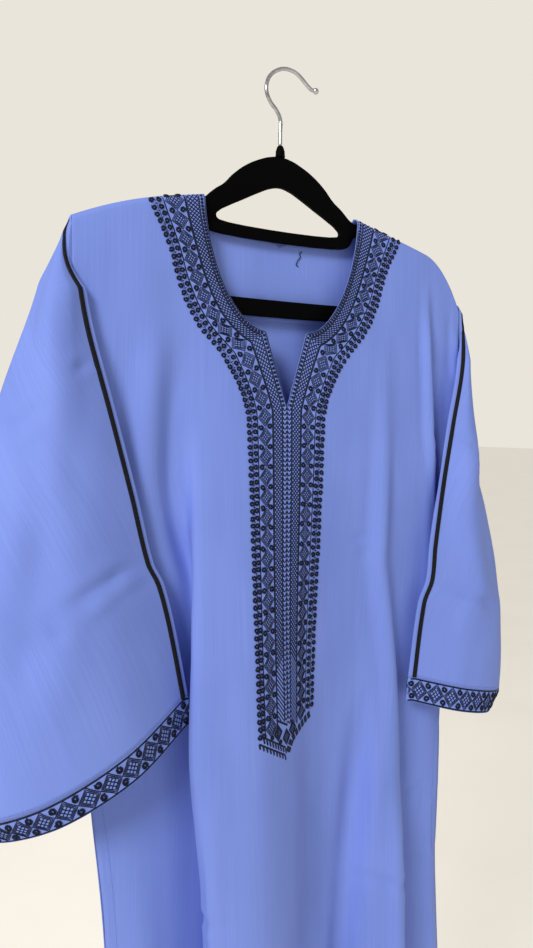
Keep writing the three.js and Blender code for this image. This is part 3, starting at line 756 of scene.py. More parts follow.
leftSleeveCreases = [
    (11, 3.2, [(36, -205), (60, -254), (79, -298), (98, -332), (124, -372), (157, -420)]),
    (13, -4.6, [(118, -352), (144, -394), (176, -442), (212, -474), (241, -522)]),
    (5, -2.0, [(84, -446), (111, -443), (135, -448), (174, -457)]),
    (4.5, 1.4, [(84, -453), (111, -451), (135, -455), (168, -464)]),
    (5, -2.2, [(176, -452), (186, -474)]),
    (3.5, -1.3, [(37, -283), (50, -286), (68, -293)]),
    (5, -1.7, [(143, -336), (121, -326), (95, -315)]),
    (6, -1.6, [(300, -330), (340, -360), (372, -352)]),
    (12, 2.6, [(280, -440), (310, -520), (300, -590)]),
]
rightSleeveCreases = [
    (4, -1.6, [(49, -342), (62, -346), (82, -356)]),
    (4.5, -1.9, [(84, -495), (106, -494), (134, -499), (176, -505)]),
    (4, 1.2, [(84, -501), (106, -501), (134, -506), (170, -511)]),
    (13, 3.0, [(60, -315), (82, -370), (103, -427), (153, -539)]),
    (13, -2.6, [(96, -330), (128, -420), (186, -530)]),
    (6, -1.5, [(230, -360), (262, -380), (290, -374)]),
    (12, 2.4, [(250, -470), (268, -540), (262, -600)]),
]
sleeves = {-1: Sleeve(-1, leftSleeveCreases), 1: Sleeve(1, rightSleeveCreases)}
sleeveNames = {-1: "left", 1: "right"}


def sleevePatch(sleeve, top, bottom, rows, withTip, power=1.0):
    turn = np.linspace(0, 1, sleeve.columns)[None]
    heights = mix(top, bottom, np.linspace(0, 1, rows + 1) ** power)[:, None]
    points = sleeve.place(turn, heights)
    around = sleeve.clothAround(*np.broadcast_arrays(turn, heights))
    uv = np.stack([around, np.broadcast_to(heights, around.shape)], -1)
    if withTip:
        # the tip's slope follows the first two rows
        t = np.array(sleeveBuild["capShares"])[:, None, None]
        slope = (points[1] - points[0]) / (heights[1] - heights[0]) * (heights[0] - sleeve.tipZ)
        cap = sleeve.cap(turn[0], t, slope)
        capUv = np.stack([
            np.broadcast_to(uv[0, :, 0], cap.shape[:2]),
            np.broadcast_to(mix(sleeve.tipZ, heights[0, 0], t[:, :, 0]), cap.shape[:2]),
        ], -1)
        points = np.concatenate([cap, points])
        uv = np.concatenate([capUv, uv])
    return points, uv, sleeve.side > 0


def sheetSize(points):
    # width round the sleeve, length down it and area of the cloth itself
    width = np.linalg.norm(np.diff(points, axis=1), axis=2).sum(1).max()
    length = np.linalg.norm(np.diff(points, axis=0), axis=2).sum(0).max()
    crossed = np.cross(points[1:, 1:] - points[:-1, :-1], points[1:, :-1] - points[:-1, 1:])
    return width, length, 0.5 * np.linalg.norm(crossed, axis=2).sum()


for side, sleeve in sleeves.items():
    built = sleeveBuild["rows"], True, sleeveBuild["rowPower"]
    patches = {
        "sleeve_": sleevePatch(sleeve, sleeve.start, sleeve.end, *built),
        "cuff_": sleevePatch(sleeve, sleeve.end + 0.4, sleeve.cuffEnd, sleeveBuild["cuffRows"], False),
    }
    for kind, patch in patches.items():
        name = kind + sleeveNames[side]
        obj = gridMesh("cloth_" + name, [patch], blueCloth, garment["clothThickness"])
        finishPiece(obj, "cloth", name)
        layFlat(obj, *sheetSize(patch[0]))

# the back neck facing lies just inside the back
facing = {
    "half": 108.0, "below": 8.0, "bottomZ": -236.0, "rows": 30, "columns": 26, "inside": -1.1,
    "thickness": 0.6, "flat": (216.0, 98.0, 17800.0),
}


def facingPatch(side):
    top = garment["neckZ"] - facing["below"]
    levels = np.linspace(top, facing["bottomZ"], facing["rows"] + 1)
    start = neckHalfBack(levels)[:, None]
    reach = side * mix(start, facing["half"], np.linspace(0, 1, facing["columns"] + 1)[None])
    level = np.broadcast_to(levels[:, None], reach.shape)
    points = back.place(reach, level, np.full(reach.shape, facing["inside"]))
    return points, np.stack([reach, level], -1), side > 0


patches = [facingPatch(side) for side in (-1, 1)]
facingCloth = gridMesh("cloth_facing", patches, blueCloth, facing["thickness"])
finishPiece(facingCloth, "cloth", "back_neck_facing")
layFlat(facingCloth, *facing["flat"])
print("stage: cloth pieces made")

# where the stitching lies on the cloth: s runs down the band, f across it from its outer edge
embroidery = {
    "turnCornerZ": -277.0,
    "outerPointZ": -322.0,
    "bandWidth": 48.0,
    "threadHeight": 0.42,
    "onCloth": 0.42,
    "dotLift": 0.25,
    "step": 2.6,
    "lineWidth": 1.15,
    "ringWidth": 0.85,
    "rings": (1.0, 0.8, 0.6),
    "doubleDotColumns": (0.07, 0.2),
    "dotPitch": 6.3,
    "dotSize": 5.2,
    "sideDotSize": 5.6,
    "diamondStrip": (0.28, 0.635),
    "diamondPitch": 17.2,
    "diamondShift": 4.0,
    "lattice": (0.66, 0.875),
    "latticePitch": 2.7,
    "netWidths": (1.05, 1.15),
    "latticeTurnZ": -548.0,  # below this it runs one way only
    "loopPitch": 4.2,
    "edgeDots": 0.935,
    "edgeDotPitch": 3.3,
    "edgeDotSize": 2.3 * 1.35,
    "lean": 3.2,  # how far the middle strips stray to the left by the lower end
    "leanOver": 240.0,
}

# the pointed lower end, in cloth coordinates from left to right
pointedEnd = {
    "lowerLine": [(-38.5, -602.0), (-8.0, -620.5)],
    "upperLine": [(-34.0, -597.5), (-7.5, -614.0)],
    "stripEnd": [
        (-40.0, -599.0), (-34.0, -595.5), (-8.0, -611.5), (3.0, -605.0), (12.0, -601.0), (33.0, -594.0),
    ],
    "middleEnd": [(-20.0, -586.0), (-4.0, -595.0), (4.0, -599.0), (12.0, -598.0)],
    "middleBar": [(-18.5, -587.5), (-4.0, -596.0)],
    "diamonds": [(-16.5, -599.0), (-5.5, -605.5), (3.5, -601.0)],
    "padRow": [(34.0, -598.0), (12.0, -605.5), (2.0, -610.5), (-4.5, -619.5)],
    "bars": 9,
    "pads": 8,
    "barWidth": 1.9,
    "padWidth": 2.9,
    "padLength": 6.4,
    "barLean": (0.25, -1.0),
    "looseDots": [(-24.0, -600.5, 4.4), (-14.0, -607.0, 4.4)],
    "dotGap": 2.4,
}


def evenPoints(points, count):
    # the same line as points, with count points at even distances
    points = np.asarray(points, float)
    along = distances(points)
    at = np.linspace(0, along[-1], count)
    return np.stack([np.interp(at, along, points[:, axis]) for axis in range(2)], -1)


def bandTable():
    # rows of (outer reach, outer level, inner reach, inner level) down the band
    top, low = garment["neckZ"] - 1.5, garment["placketCornerZ"]
    outerStops = [top, embroidery["turnCornerZ"], embroidery["outerPointZ"], low]
    innerStops = [top, garment["cornerZ"], garment["slitZ"], low]
    rows = []
    for part, count in enumerate((170, 90, 320)):
        ends = []
        for stops, half in ((outerStops, bandHalf), (innerStops, neckHalfFront)):
            levels = np.linspace(stops[part], stops[part + 1], 200)
            ends.append(evenPoints(np.stack([half(levels), levels], -1), count))
        rows.append(np.concatenate(ends, 1)[0 if part == 0 else 1 :])
    rows = np.concatenate(rows)
    return distances(mix(rows[:, :2], rows[:, 2:], 0.457)), rows


bandAlong, bandRows = bandTable()
bandLength = bandAlong[-1]
slitAlong = float(np.interp(-garment["slitZ"], -bandRows[:, 3], bandAlong))


def onBand(side, s, f):
    # cloth coordinates of a place on the band
    s, f = np.broadcast_arrays(np.asarray(s, float), np.asarray(f, float))
    ends = [np.interp(s, bandAlong, bandRows[:, i]) for i in range(4)]
    level = mix(ends[1], ends[3], f)
    below = easeStep((garment["slitZ"] - level) / embroidery["leanOver"])
    lean = -embroidery["lean"] * below * clamp(f / embroidery["diamondStrip"][0])
    return side * mix(ends[0], ends[2], f) + lean, level


def stepped(points, step):
    # a line through the same corners with a point every step
    points = np.asarray(points, float)
    rows = [points[:1]]
    for a, b in zip(points[:-1], points[1:]):
        count = max(1, int(math.ceil(np.linalg.norm(b - a) / step)))
        rows.append(a + (b - a) * np.linspace(0, 1, count + 1)[1:, None])
    return np.concatenate(rows)


def levelOn(name, reach):
    return np.interp(reach, *zip(*pointedEnd[name]))


def bandLine(side, corners, width, inMiddle=False):
    # corners are (distance along the band, fraction across it)
    scale = [1, embroidery["bandWidth"]]
    scaled = stepped(np.asarray(corners, float) * scale, embroidery["step"]) / scale
    reach, level = onBand(side, scaled[:, 0], scaled[:, 1])
    keep = level > levelOn("stripEnd", reach)
    if inMiddle:
        keep &= level > levelOn("middleEnd", reach)
    for run in np.split(np.arange(len(keep)), np.flatnonzero(np.diff(keep.astype(int))) + 1):
        if keep[run[0]] and len(run) > 1:
            frontLines.append((np.stack([reach[run], level[run]], -1), width))


def diamondLines(halfLong, halfWide, centre, rings, place):
    # concentric diamonds with a small grid in the innermost, as lists of corners
    tips = (1, 0), (0, 1), (-1, 0), (0, -1), (1, 0)
    shapes = [[(x * scale, y * scale) for x, y in tips] for scale in rings]
    for t in (-0.34, 0.34):
        for flip in (1, -1):
            ends = ((1 + t) / 2, (t - 1) / 2 * flip), ((t - 1) / 2, (1 + t) / 2 * flip)
            shapes.append([(x * rings[-1], y * rings[-1]) for x, y in ends])
    for shape in shapes:
        place([(centre[0] + x * halfLong, centre[1] + y * halfWide) for x, y in shape])


frontLines, frontDots, edgeBeads = [], [], []
low, high = embroidery["diamondStrip"]
netLow, netHigh = embroidery["lattice"]
wide, ringWidth = embroidery["lineWidth"], embroidery["ringWidth"]
pitch = bandLength / int(bandLength / embroidery["diamondPitch"])
for side in (-1, 1):
    # lines down the band: the fraction across it, the width, and whether it stops at the V
    for f, width, inMiddle in (
        (0.135, 0.5, False),
        (low - 0.008, wide, False),
        (high + 0.008, wide * 1.6, False),
        (netHigh + 0.012, wide * 1.1, True),
    ):
        bandLine(side, [(0, f), (bandLength, f)], width, inMiddle)
    bandLine(side, [(0, 0.988), (slitAlong, 0.988)], 0.7)
    for s in pitch * np.arange(round(bandLength / pitch)):
        shift = s - embroidery["diamondShift"]
        centre = (shift + pitch / 2, (low + high) / 2)
        halfWide = (high - low) * 0.46
        draw = lambda corners: bandLine(side, corners, ringWidth)
        diamondLines(pitch * 0.475, halfWide, centre, embroidery["rings"], draw)
        for f in (low + 0.075, high - 0.075):
            frontDots.append((side, shift, f, embroidery["sideDotSize"]))
    for s in np.arange(embroidery["dotPitch"] / 2, bandLength, embroidery["dotPitch"]):
        for f in embroidery["doubleDotColumns"]:
            frontDots.append((side, s, f, embroidery["dotSize"]))
        bandLine(side, [(s + 3.1, 0.1), (s + 3.1, 0.17)], 0.5)
    run = (netHigh - netLow) * 50.0
    for s in np.arange(-run, bandLength, embroidery["latticePitch"] * 1.42):
        for a, b in ((netHigh, netLow), (netLow, netHigh)):
            ends = np.array([(s, a), (s + run, b)])
            ends[0] = mix(ends[0], ends[1], clamp(-s / run) if s < 0 else 0.0)
            nearPoint = onBand(side, ends[1, 0], 0.8)[1] < embroidery["latticeTurnZ"]
            if not (nearPoint and b == netLow):
                bandLine(side, ends, embroidery["netWidths"][int(nearPoint)], True)
    for s in np.arange(1.6, slitAlong, embroidery["edgeDotPitch"]):
        edgeBeads.append((side, s, embroidery["edgeDots"], embroidery["edgeDotSize"]))
    loop = embroidery["loopPitch"]
    for s in np.arange(slitAlong, bandLength, loop):  # a chain of loops beside the middle line
        curl = [(s, 0.9), (s + 1.6, 0.915), (s + 2.8, 0.945), (s + 1.6, 0.975), (s + 0.2, 0.985)]
        bandLine(side, curl, 1.35, True)
    for s in slitAlong + np.arange(-200, -24, loop):  # a fine zigzag along the neckline
        bandLine(side, [(s, 0.96), (s + loop / 2, 0.985), (s + loop, 0.96)], 0.45)


def frontLine(points, step, width):
    frontLines.append((stepped(points, step), width))


# two lines with short bars on the left, a row of pads on the right
for name in ("lowerLine", "upperLine"):
    frontLine(pointedEnd[name], 3.0, 1.7)
for name, reach in (("lowerLine", (0.6, 4.4)), ("upperLine", (0.9, 5.4))):
    for spot in evenPoints(pointedEnd[name], pointedEnd["bars"]):
        frontLine(spot + np.outer(reach, pointedEnd["barLean"]), 2.0, pointedEnd["barWidth"])
padLine = evenPoints(pointedEnd["padRow"], 4 * pointedEnd["pads"] + 1)
for i in range(2, len(padLine), 4):
    along = padLine[i + 1] - padLine[i - 1]
    along = along / np.linalg.norm(along)
    across = np.array([along[1], -along[0]]) * pointedEnd["padLength"] / 2
    for offset in (-0.9, 0.9):
        middle = padLine[i] + along * offset
        frontLine([middle - across, middle + across], 2.0, pointedEnd["padWidth"])
frontLine(pointedEnd["middleBar"], 2.5, 1.9)
dash = 6.0  # the middle line is laid in dashes end to end
for s in np.arange(slitAlong + 1.0, bandLength - 16.0, dash):
    frontLine(np.stack(onBand(1, np.array([s, s + dash]), 1.0), -1), 3.0, 0.9)
for x, z in pointedEnd["diamonds"]:  # drawn upright, so their corners are (level, reach)
    draw = lambda corners: frontLine([(b, a) for a, b in corners], embroidery["step"], ringWidth)
    diamondLines(7.0, 5.2, (z, x), embroidery["rings"], draw)
print("stage: stitching drawn,", len(frontLines), "lines")


def stitchMesh(name, lines, place, height, onCloth, nodes=()):
    # every line becomes a low closed three-sided thread lying on the cloth
    flats, lifts, faces = [], [], []
    start = 0
    for points, width in lines:
        count = len(points)
        run = np.gradient(points, axis=0)
        run = run / np.maximum(1e-9, np.linalg.norm(run, axis=1))[:, None]
        across = np.stack([-run[:, 1], run[:, 0]], -1) * width / 2
        flats += [points - across, points + across, points]
        lifts += [np.full(count, onCloth), np.full(count, onCloth), np.full(count, onCloth + height)]
        i = start + np.arange(count - 1)
        for a, b in ((0, count), (count, 2 * count), (2 * count, 0)):
            faces += np.stack([i + a, i + b, i + b + 1, i + a + 1], -1).tolist()
        last = start + count - 1
        faces += [[start, start + 2 * count, start + count], [last, last + count, last + 2 * count]]
        start += 3 * count
    flat = np.concatenate(flats)
    spots = place(flat[:, 0], flat[:, 1], np.concatenate(lifts)) * mm
    mesh = bpy.data.meshes.new(name)
    mesh.from_pydata(spots.tolist(), [], faces)
    mend(mesh)
    mesh.materials.append(navyThread)
    print("stage:", name, len(mesh.polygons), "faces")
    return finishPiece(addObject(name, mesh), "embroidery", *nodes)


def newTree(name, sizes):
    # a tree with a named input for each size, its material last
    tree = bpy.data.node_groups.new(name, "GeometryNodeTree")
    kinds = {float: "NodeSocketFloat", int: "NodeSocketInt"}
    tree.interface.new_socket("Geometry", in_out="INPUT", socket_type="NodeSocketGeometry")
    for key, value in sizes.items():
        socket = tree.interface.new_socket(key, in_out="INPUT", socket_type=kinds[type(value)])
        socket.default_value = value
    tree.interface.new_socket("Thread", in_out="INPUT", socket_type="NodeSocketMaterial")
    tree.interface.new_socket("Geometry", in_out="OUTPUT", socket_type="NodeSocketGeometry")
    return tree, tree.nodes.new("NodeGroupInput").outputs


def attributeNode(tree, name, kind):
    node = addNode(tree, "GeometryNodeInputNamedAttribute", {"Name": name}, data_type=kind)
    return node.outputs["Attribute"]


def placedOn(tree, points, instance, along, **more):
    # the instance on every point, its own Z turned along a direction
    turned = addNode(tree, "FunctionNodeAlignRotationToVector", {"Vector": along}, axis="Z")
    placed = addNode(tree, "GeometryNodeInstanceOnPoints", {
        "Points": points, "Instance": instance, "Rotation": turned.outputs["Rotation"], **more,
    })
    return placed.outputs["Instances"]


def onCarrier(tree, given, instance):
    # turned to face out of the cloth, at each point's own size
    out = attributeNode(tree, "out", "FLOAT_VECTOR")
    return placedOn(tree, given["Geometry"], instance, out, Scale=attributeNode(tree, "size", "FLOAT"))


def closeTree(tree, instances, given):
    real = addNode(tree, "GeometryNodeRealizeInstances", {"Geometry": instances})
    made = {"Geometry": real.outputs["Geometry"], "Material": given["Thread"]}
    dyed = addNode(tree, "GeometryNodeSetMaterial", made)
    addNode(tree, "NodeGroupOutput", {"Geometry": dyed.outputs["Geometry"]})
    return tree


def spiralTree():
    # a coiled thread on every point
    tree, given = newTree("spiral dots", {
        "Radius": 0.5 * mm, "Thread radius": 0.115 * mm, "Turns": 2.0, "Steps": 7, "Seed": 4,
    })
    spiral = addNode(tree, "GeometryNodeCurveSpiral", {
        "Resolution": given["Steps"], "Rotations": given["Turns"], "End Radius": given["Radius"],
        "Start Radius": given["Thread radius"], "Height": 0.0,
    })
    circle = {"Resolution": 3, "Radius": given["Thread radius"]}
    section = addNode(tree, "GeometryNodeCurvePrimitiveCircle", circle, mode="RADIUS")
    thread = addNode(tree, "GeometryNodeCurveToMesh", {
        "Curve": spiral.outputs["Curve"], "Profile Curve": section.outputs["Curve"], "Fill Caps": True,
    })
    dots = onCarrier(tree, given, thread.outputs["Mesh"])
    spin = addNode(tree, "FunctionNodeRandomValue", {"Seed": given["Seed"]}, data_type="FLOAT")
    spin.inputs[2].default_value, spin.inputs[3].default_value = 0.0, 6.283
    turn = addNode(tree, "ShaderNodeCombineXYZ", {"Z": spin.outputs[1]})
    turned = addNode(tree, "GeometryNodeRotateInstances", {
        "Instances": dots, "Rotation": turn.outputs["Vector"], "Local Space": True,
    })
    return closeTree(tree, turned.outputs["Instances"], given)


def beadTree():
    # a low round stitch on every point
    tree, given = newTree("edge stitches", {"Radius": 0.5 * mm, "Height": 0.25 * mm, "Sides": 7})
    bead = addNode(tree, "GeometryNodeMeshCone", {
        "Vertices": given["Sides"], "Radius Top": 0.22 * mm, "Radius Bottom": given["Radius"],
        "Depth": given["Height"],
    })
    return closeTree(tree, onCarrier(tree, given, bead.outputs["Mesh"]), given)


def rowTree():
    # short stitches at even distances along a line
    sizes = {"Pitch": 2.6 * mm, "Length": 1.8 * mm, "Thread radius": 0.22 * mm}
    tree, given = newTree("stitch rows", sizes)
    line = addNode(tree, "GeometryNodeMeshToCurve", {"Mesh": given["Geometry"]})
    spaced = {"Curve": line.outputs["Curve"], "Length": given["Pitch"]}
    even = addNode(tree, "GeometryNodeResampleCurve", spaced, mode="LENGTH")
    stitch = addNode(tree, "GeometryNodeMeshCylinder", {
        "Vertices": 5, "Radius": given["Thread radius"], "Depth": given["Length"],
    }, fill_type="TRIANGLE_FAN")
    along = addNode(tree, "GeometryNodeInputTangent").outputs["Tangent"]
    return closeTree(tree, placedOn(tree, even.outputs["Curve"], stitch.outputs["Mesh"], along), given)


def grow(name, spots, tree, material, sizes, slot, edges=(), **attributes):
    # the tree's result on a mesh of bare points, as a plain mesh
    mesh = bpy.data.meshes.new("points")
    mesh.from_pydata((np.asarray(spots) * mm).tolist(), list(edges), [])
    for key, values in attributes.items():
        values = np.asarray(values, float)
        kind, field = ("FLOAT_VECTOR", "vector") if values.ndim == 2 else ("FLOAT", "value")
        layer = mesh.attributes.new(key, kind, "POINT")
        layer.data.foreach_set(field, values.astype(np.float32).ravel())
    carrier = addObject("points", mesh)
    modifier = carrier.modifiers.new("growth", "NODES")
    modifier.node_group = tree
    given = {**sizes, "Thread": material}
    for item in tree.interface.items_tree:
        if item.item_type == "SOCKET" and item.in_out == "INPUT" and item.name in given:
            modifier[item.identifier] = given[item.name]
    graph = bpy.context.evaluated_depsgraph_get()
    grown = bpy.data.meshes.new_from_object(carrier.evaluated_get(graph))
    carrier.modifiers.remove(modifier)
    bpy.data.objects.remove(carrier)
    grown.name = name
    print("stage:", name, len(grown.polygons), "faces")
    return finishPiece(addObject(name, grown), slot)


spirals, beads, stitchRows = spiralTree(), beadTree(), rowTree()


def growDots(name, flats, dotSizes, cloth, lift, tree, sizes):
    across, level = np.asarray(flats, float).T
    spots = cloth.place(across, level, np.full(len(across), lift))
    out = cloth.normals(across, level)
    return grow(name, spots, tree, navyThread, sizes, "embroidery", out=out, size=dotSizes)


everyFrontNode = ("neck_embroidery_left", "neck_embroidery_right", "placket_embroidery")
raised = embroidery["onCloth"]
dotLift = raised + embroidery["dotLift"]
threadHeight = embroidery["threadHeight"]
stitchMesh("stitching_front", frontLines, front.place, threadHeight, raised, everyFrontNode)

flats, dotSizes = [], []
for side, s, f, size in frontDots:
    reach, level = (float(v) for v in onBand(side, s, f))
    lowest = "lowerLine" if side < 0 and f < 0.25 else "stripEnd"
    if level > float(levelOn(lowest, reach)) + pointedEnd["dotGap"]:
        flats.append((reach, level))
        dotSizes.append(size)
for x, level, size in pointedEnd["looseDots"]:
    flats.append((x, level))
    dotSizes.append(size)
growDots("stitching_dots", flats, dotSizes, front, dotLift, spirals, {"Seed": 11})
flats = [[float(v) for v in onBand(side, s, f)] for side, s, f, _ in edgeBeads]
growDots("stitching_neck_edge", flats, [bead[3] for bead in edgeBeads], front, raised, beads, {})

# the cuffs' bands: a row of squares set on their corners between two lines
cuffBand = {
    "edge": 1.2, "pitch": 16.4, "lineWidth": 1.7, "ringWidth": 0.95, "rings": (1.0, 0.83, 0.66),
    "dotSize": 6.4, "step": 2.8,
}


class CuffBand:
    # a cuff's own coordinates: distance round the sleeve, and height
    def __init__(self, sleeve):
        self.sleeve = sleeve
        self.turns = np.linspace(0, 1, sleeve.columns)
        self.middle = (sleeve.end + sleeve.cuffEnd) / 2
        self.total = float(sleeve.clothAround(1.0, self.middle))
        self.around = sleeve.clothAround(self.turns, np.full(len(self.turns), self.middle))
        here = sleeve.place(self.turns, self.middle)
        run = np.gradient(here, self.around, axis=0)
        rise = sleeve.place(self.turns, self.middle + 1.0) - here
        lean = -(run * rise).sum(-1) / (run**2).sum(-1)
        self.lean = np.convolve(np.pad(lean, 4, "edge"), np.ones(9) / 9, "valid")

    def turned(self, u, v):
        # square to the band's own direction, also where the hem slopes
        u = np.asarray(u, float)
        lean = np.interp(u, self.around, self.lean) * (v - self.middle)
        return np.interp(u + lean, self.around, self.turns)

    def place(self, u, v, lift):
        return self.sleeve.place(self.turned(u, v), v, lift)

    def normals(self, u, v):
        return self.sleeve.normals(self.turned(u, v), v)


cuffs = {side: CuffBand(sleeve) for side, sleeve in sleeves.items()}
for side, cuff in cuffs.items():
    sleeve = sleeves[side]
    top, low = sleeve.end - cuffBand["edge"] + 0.2, sleeve.cuffEnd + cuffBand["edge"]
    middle, half = (top + low) / 2, (top - low) / 2
    lines, dots = [], []
    draw = lambda corners: lines.append((stepped(corners, cuffBand["step"]), cuffBand["ringWidth"]))
    for level in (top, low):
        lines.append((stepped([(1.0, level), (cuff.total - 1.0, level)], 3.4), cuffBand["lineWidth"]))
    count = int(cuff.total / cuffBand["pitch"])
    pitch = cuff.total / count
    for i in range(count):
        diamondLines(pitch * 0.49, half * 0.94, (pitch * (i + 0.5), middle), cuffBand["rings"], draw)
        if i:
            dots += [(pitch * i, middle + half * 0.6), (pitch * i, middle - half * 0.6)]
    name = sleeveNames[side]
    stitchMesh("stitching_cuff_" + name, lines, cuff.place, threadHeight, raised)
    sizes = [cuffBand["dotSize"]] * len(dots)
    growDots("stitching_cuff_dots_" + name, dots, sizes, cuff, dotLift, spirals, {"Seed": 20 + side})
print("stage: stitching made")

# the flat braid along each sleeve's fold
braid = {
    "width": 4.5, "thickness": 1.6, "plait": 3.4, "relief": 0.4, "rowStep": 0.85, "columns": 10,
    "startShare": 0.5,  # it starts at half its width, tucked under the shoulder's seam
    "startLength": 45.0,
    "turnReach": 0.09,
}


def braidPatch(sleeve):
    at = sleeveBuild["pipingPoint"] / sleeveBuild["perSpan"]
    surface = garment["clothThickness"] / 2
    heights = np.arange(sleeve.start, sleeve.end + 0.3, -braid["rowStep"])
    turns = np.linspace(at - braid["turnReach"], at + braid["turnReach"], 73)
    around = sleeve.clothAround(turns[None], heights[:, None])
    across = np.linspace(-1, 1, braid["columns"] + 1)
    middle = sleeve.clothAround(np.full(len(heights), at), heights)
    start = mix(braid["startShare"], 1.0, easeStep((sleeve.start - heights) / braid["startLength"]))
    spots = middle[:, None] + across[None] * start[:, None] * braid["width"] / 2
    turn = np.stack([np.interp(spot, row, turns) for spot, row in zip(spots, around)])
    z = np.broadcast_to(heights[:, None], turn.shape)
    crown = np.sqrt(np.maximum(0, 1 - np.abs(across) ** 4))[None]
    slantways = (z - np.abs(across)[None] * braid["width"] * 0.55) / braid["plait"]
    strands = np.abs(np.sin(math.pi * slantways)) ** 0.7
    groove = 1 - 0.45 * np.exp(-((across[None] / 0.12) ** 2))
    top = surface + crown * (braid["thickness"] - braid["relief"] * (1.4 - strands) * groove)
    outer = sleeve.place(turn, z, top)
    inner = sleeve.place(turn, z, np.full(turn.shape, surface - 0.1))
    share = np.array([0.25, 0.5, 0.75])[:, None, None]
    lead = sleeve.cap(np.broadcast_to(turn[0], (3, turn.shape[1])), share)
    outer = np.concatenate([lead + (outer[0] - inner[0]) * (0.35 + 0.6 * share), outer])
    inner = np.concatenate([lead, inner])
    ring = np.concatenate([outer, inner[:, ::-1], outer[:, :1]], 1)
    length = np.cumsum(np.full(len(ring), braid["rowStep"]))
    uv = np.stack(np.broadcast_arrays(np.arange(ring.shape[1])[None] * 0.6, length[:, None]), -1)
    return ring, uv.astype(float)


for side, sleeve in sleeves.items():
    obj = gridMesh("braid_" + sleeveNames[side], [(*braidPatch(sleeve), side < 0)], blackBraid)
    mend(obj.data, holeSides=60)
    finishPiece(obj, "piping", "piping_" + sleeveNames[side])
print("stage: braid made")

# the hanger: a flocked frame, its hook and the socket round the hook's foot
hanger = {
    "stemX": -8.0, "thickness": 6.0, "bevel": 1.6, "tilt": 0.001, "wire": 1.9, "ball": 3.0, "weld": 0.01,
}
hangerOutline = [
    (0, -83), (11, -84.5), (22, -88.5), (36, -96), (48, -105.5), (58, -116), (67, -122.5),
    (80, -133), (86, -134.5), (100, -137), (172, -160), (183, -164.6), (189, -172.5), (190, -184),
    (184, -198), (174, -214), (162, -224), (148, -229), (120, -231.5), (60, -232.5), (0, -233),
]
hangerOpenings = [
    [(0, -111.5), (10, -113.5), (22, -119), (38, -127.5), (54, -136), (62, -141), (66, -146), (63, -149.5)],
    [
        (72, -160), (78, -156), (82, -149), (88, -146.5), (160, -171), (172, -178),
        (173, -186), (166, -200), (156, -211), (144, -214.5), (60, -216.8), (0, -217.2),
    ],
]
hookRoute = [
    (-8, -72), (-8, -60), (-8, -47), (-11.5, -40), (-18.5, -32.5), (-22.4, -24), (-22, -15.5),
    (-18, -7.5), (-11, -1.6), (-3, 1.5), (4, 1.6), (10, 0), (16, -4), (21.5, -8.6), (26.5, -11.6),
    (31, -11.9),
]


def newCurve(name, dimensions, lines, closed, **settings):
    # smooth lines through rows of points in millimetres, as a mesh
    curve = bpy.data.curves.new(name, "CURVE")
    curve.dimensions = dimensions
    for key, value in settings.items():
        setattr(curve, key, value)
    for points in lines:
        spline = curve.splines.new("BEZIER")
        spline.bezier_points.add(len(points) - 1)
        for knot, spot in zip(spline.bezier_points, points):
            knot.co = [v * mm for v in spot]
            knot.handle_left_type = knot.handle_right_type = "AUTO"
        spline.use_cyclic_u = closed
        spline.resolution_u = 7
    holder = addObject(name, curve)
    graph = bpy.context.evaluated_depsgraph_get()
    mesh = bpy.data.meshes.new_from_object(holder.evaluated_get(graph))
    bpy.data.objects.remove(holder)
    return mesh


def addPiece(name, mesh, material, slot, *nodes):
    mend(mesh, weld=hanger["weld"])
    mesh.materials.clear()
    mesh.materials.append(material)
    shadeSmooth(mesh)
    return finishPiece(addObject(name, mesh), slot, *nodes)


outlines = [
    [(x, z, 0) for x, z in half] + [(-x, z, 0) for x, z in reversed(half) if x > 0]
    for half in (hangerOutline, *hangerOpenings)
]
frameMesh = newCurve(
    "frame", "2D", outlines, True, fill_mode="BOTH", bevel_resolution=3, bevel_depth=hanger["bevel"] * mm,
    extrude=(hanger["thickness"] / 2 - hanger["bevel"]) * mm, offset=-hanger["bevel"] * mm,
)
frameMesh.transform(
    Matrix.Translation((hanger["stemX"] * mm, 0, 0))
    @ Matrix.Rotation(hanger["tilt"], 4, "Y")
    @ Matrix.Rotation(math.pi / 2, 4, "X")
)
addPiece("flocked_frame", frameMesh, blackFlock, "velvet", "hanger_frame")

hookLine = [(x, 0.0, z) for x, z in hookRoute]
wire = {"bevel_resolution": 5, "bevel_depth": hanger["wire"] * mm, "use_fill_caps": True}
hookMesh = newCurve("hook", "3D", [hookLine], False, **wire)
shell = bmesh.new()
shell.from_mesh(hookMesh)
tip = Matrix.Translation(Vector(hookLine[-1]) * mm)
bmesh.ops.create_uvsphere(shell, u_segments=28, v_segments=16, radius=hanger["ball"] * mm, matrix=tip)
shell.to_mesh(hookMesh)
shell.free()
addPiece("steel_hook", hookMesh, wireSteel, "steel", "hanger_hook")

socket = {
    "profile": [
        (0, -82.7), (4.2, -82.7), (4.6, -82.3), (4.6, -81.2), (4.3, -80.8), (4.4, -79.6), (4.2, -77),
        (3.4, -74.3), (2.9, -73), (2.5, -72.4), (0, -72.4),
    ],
    "sides": 32,
}
turns = np.linspace(0, 2 * math.pi, socket["sides"] + 1)
rings = np.array([
    [(hanger["stemX"] + r * math.cos(t), r * math.sin(t), z) for t in turns] for r, z in socket["profile"]
])
flatUv = np.stack(np.meshgrid(turns * 4, [z for _, z in socket["profile"]]), -1)
collar = gridMesh("hook_socket", [(rings, flatUv, False)], blackFlock)
mend(collar.data)
finishPiece(collar, "velvet", "hanger_ferrule")
print("stage: hanger made")

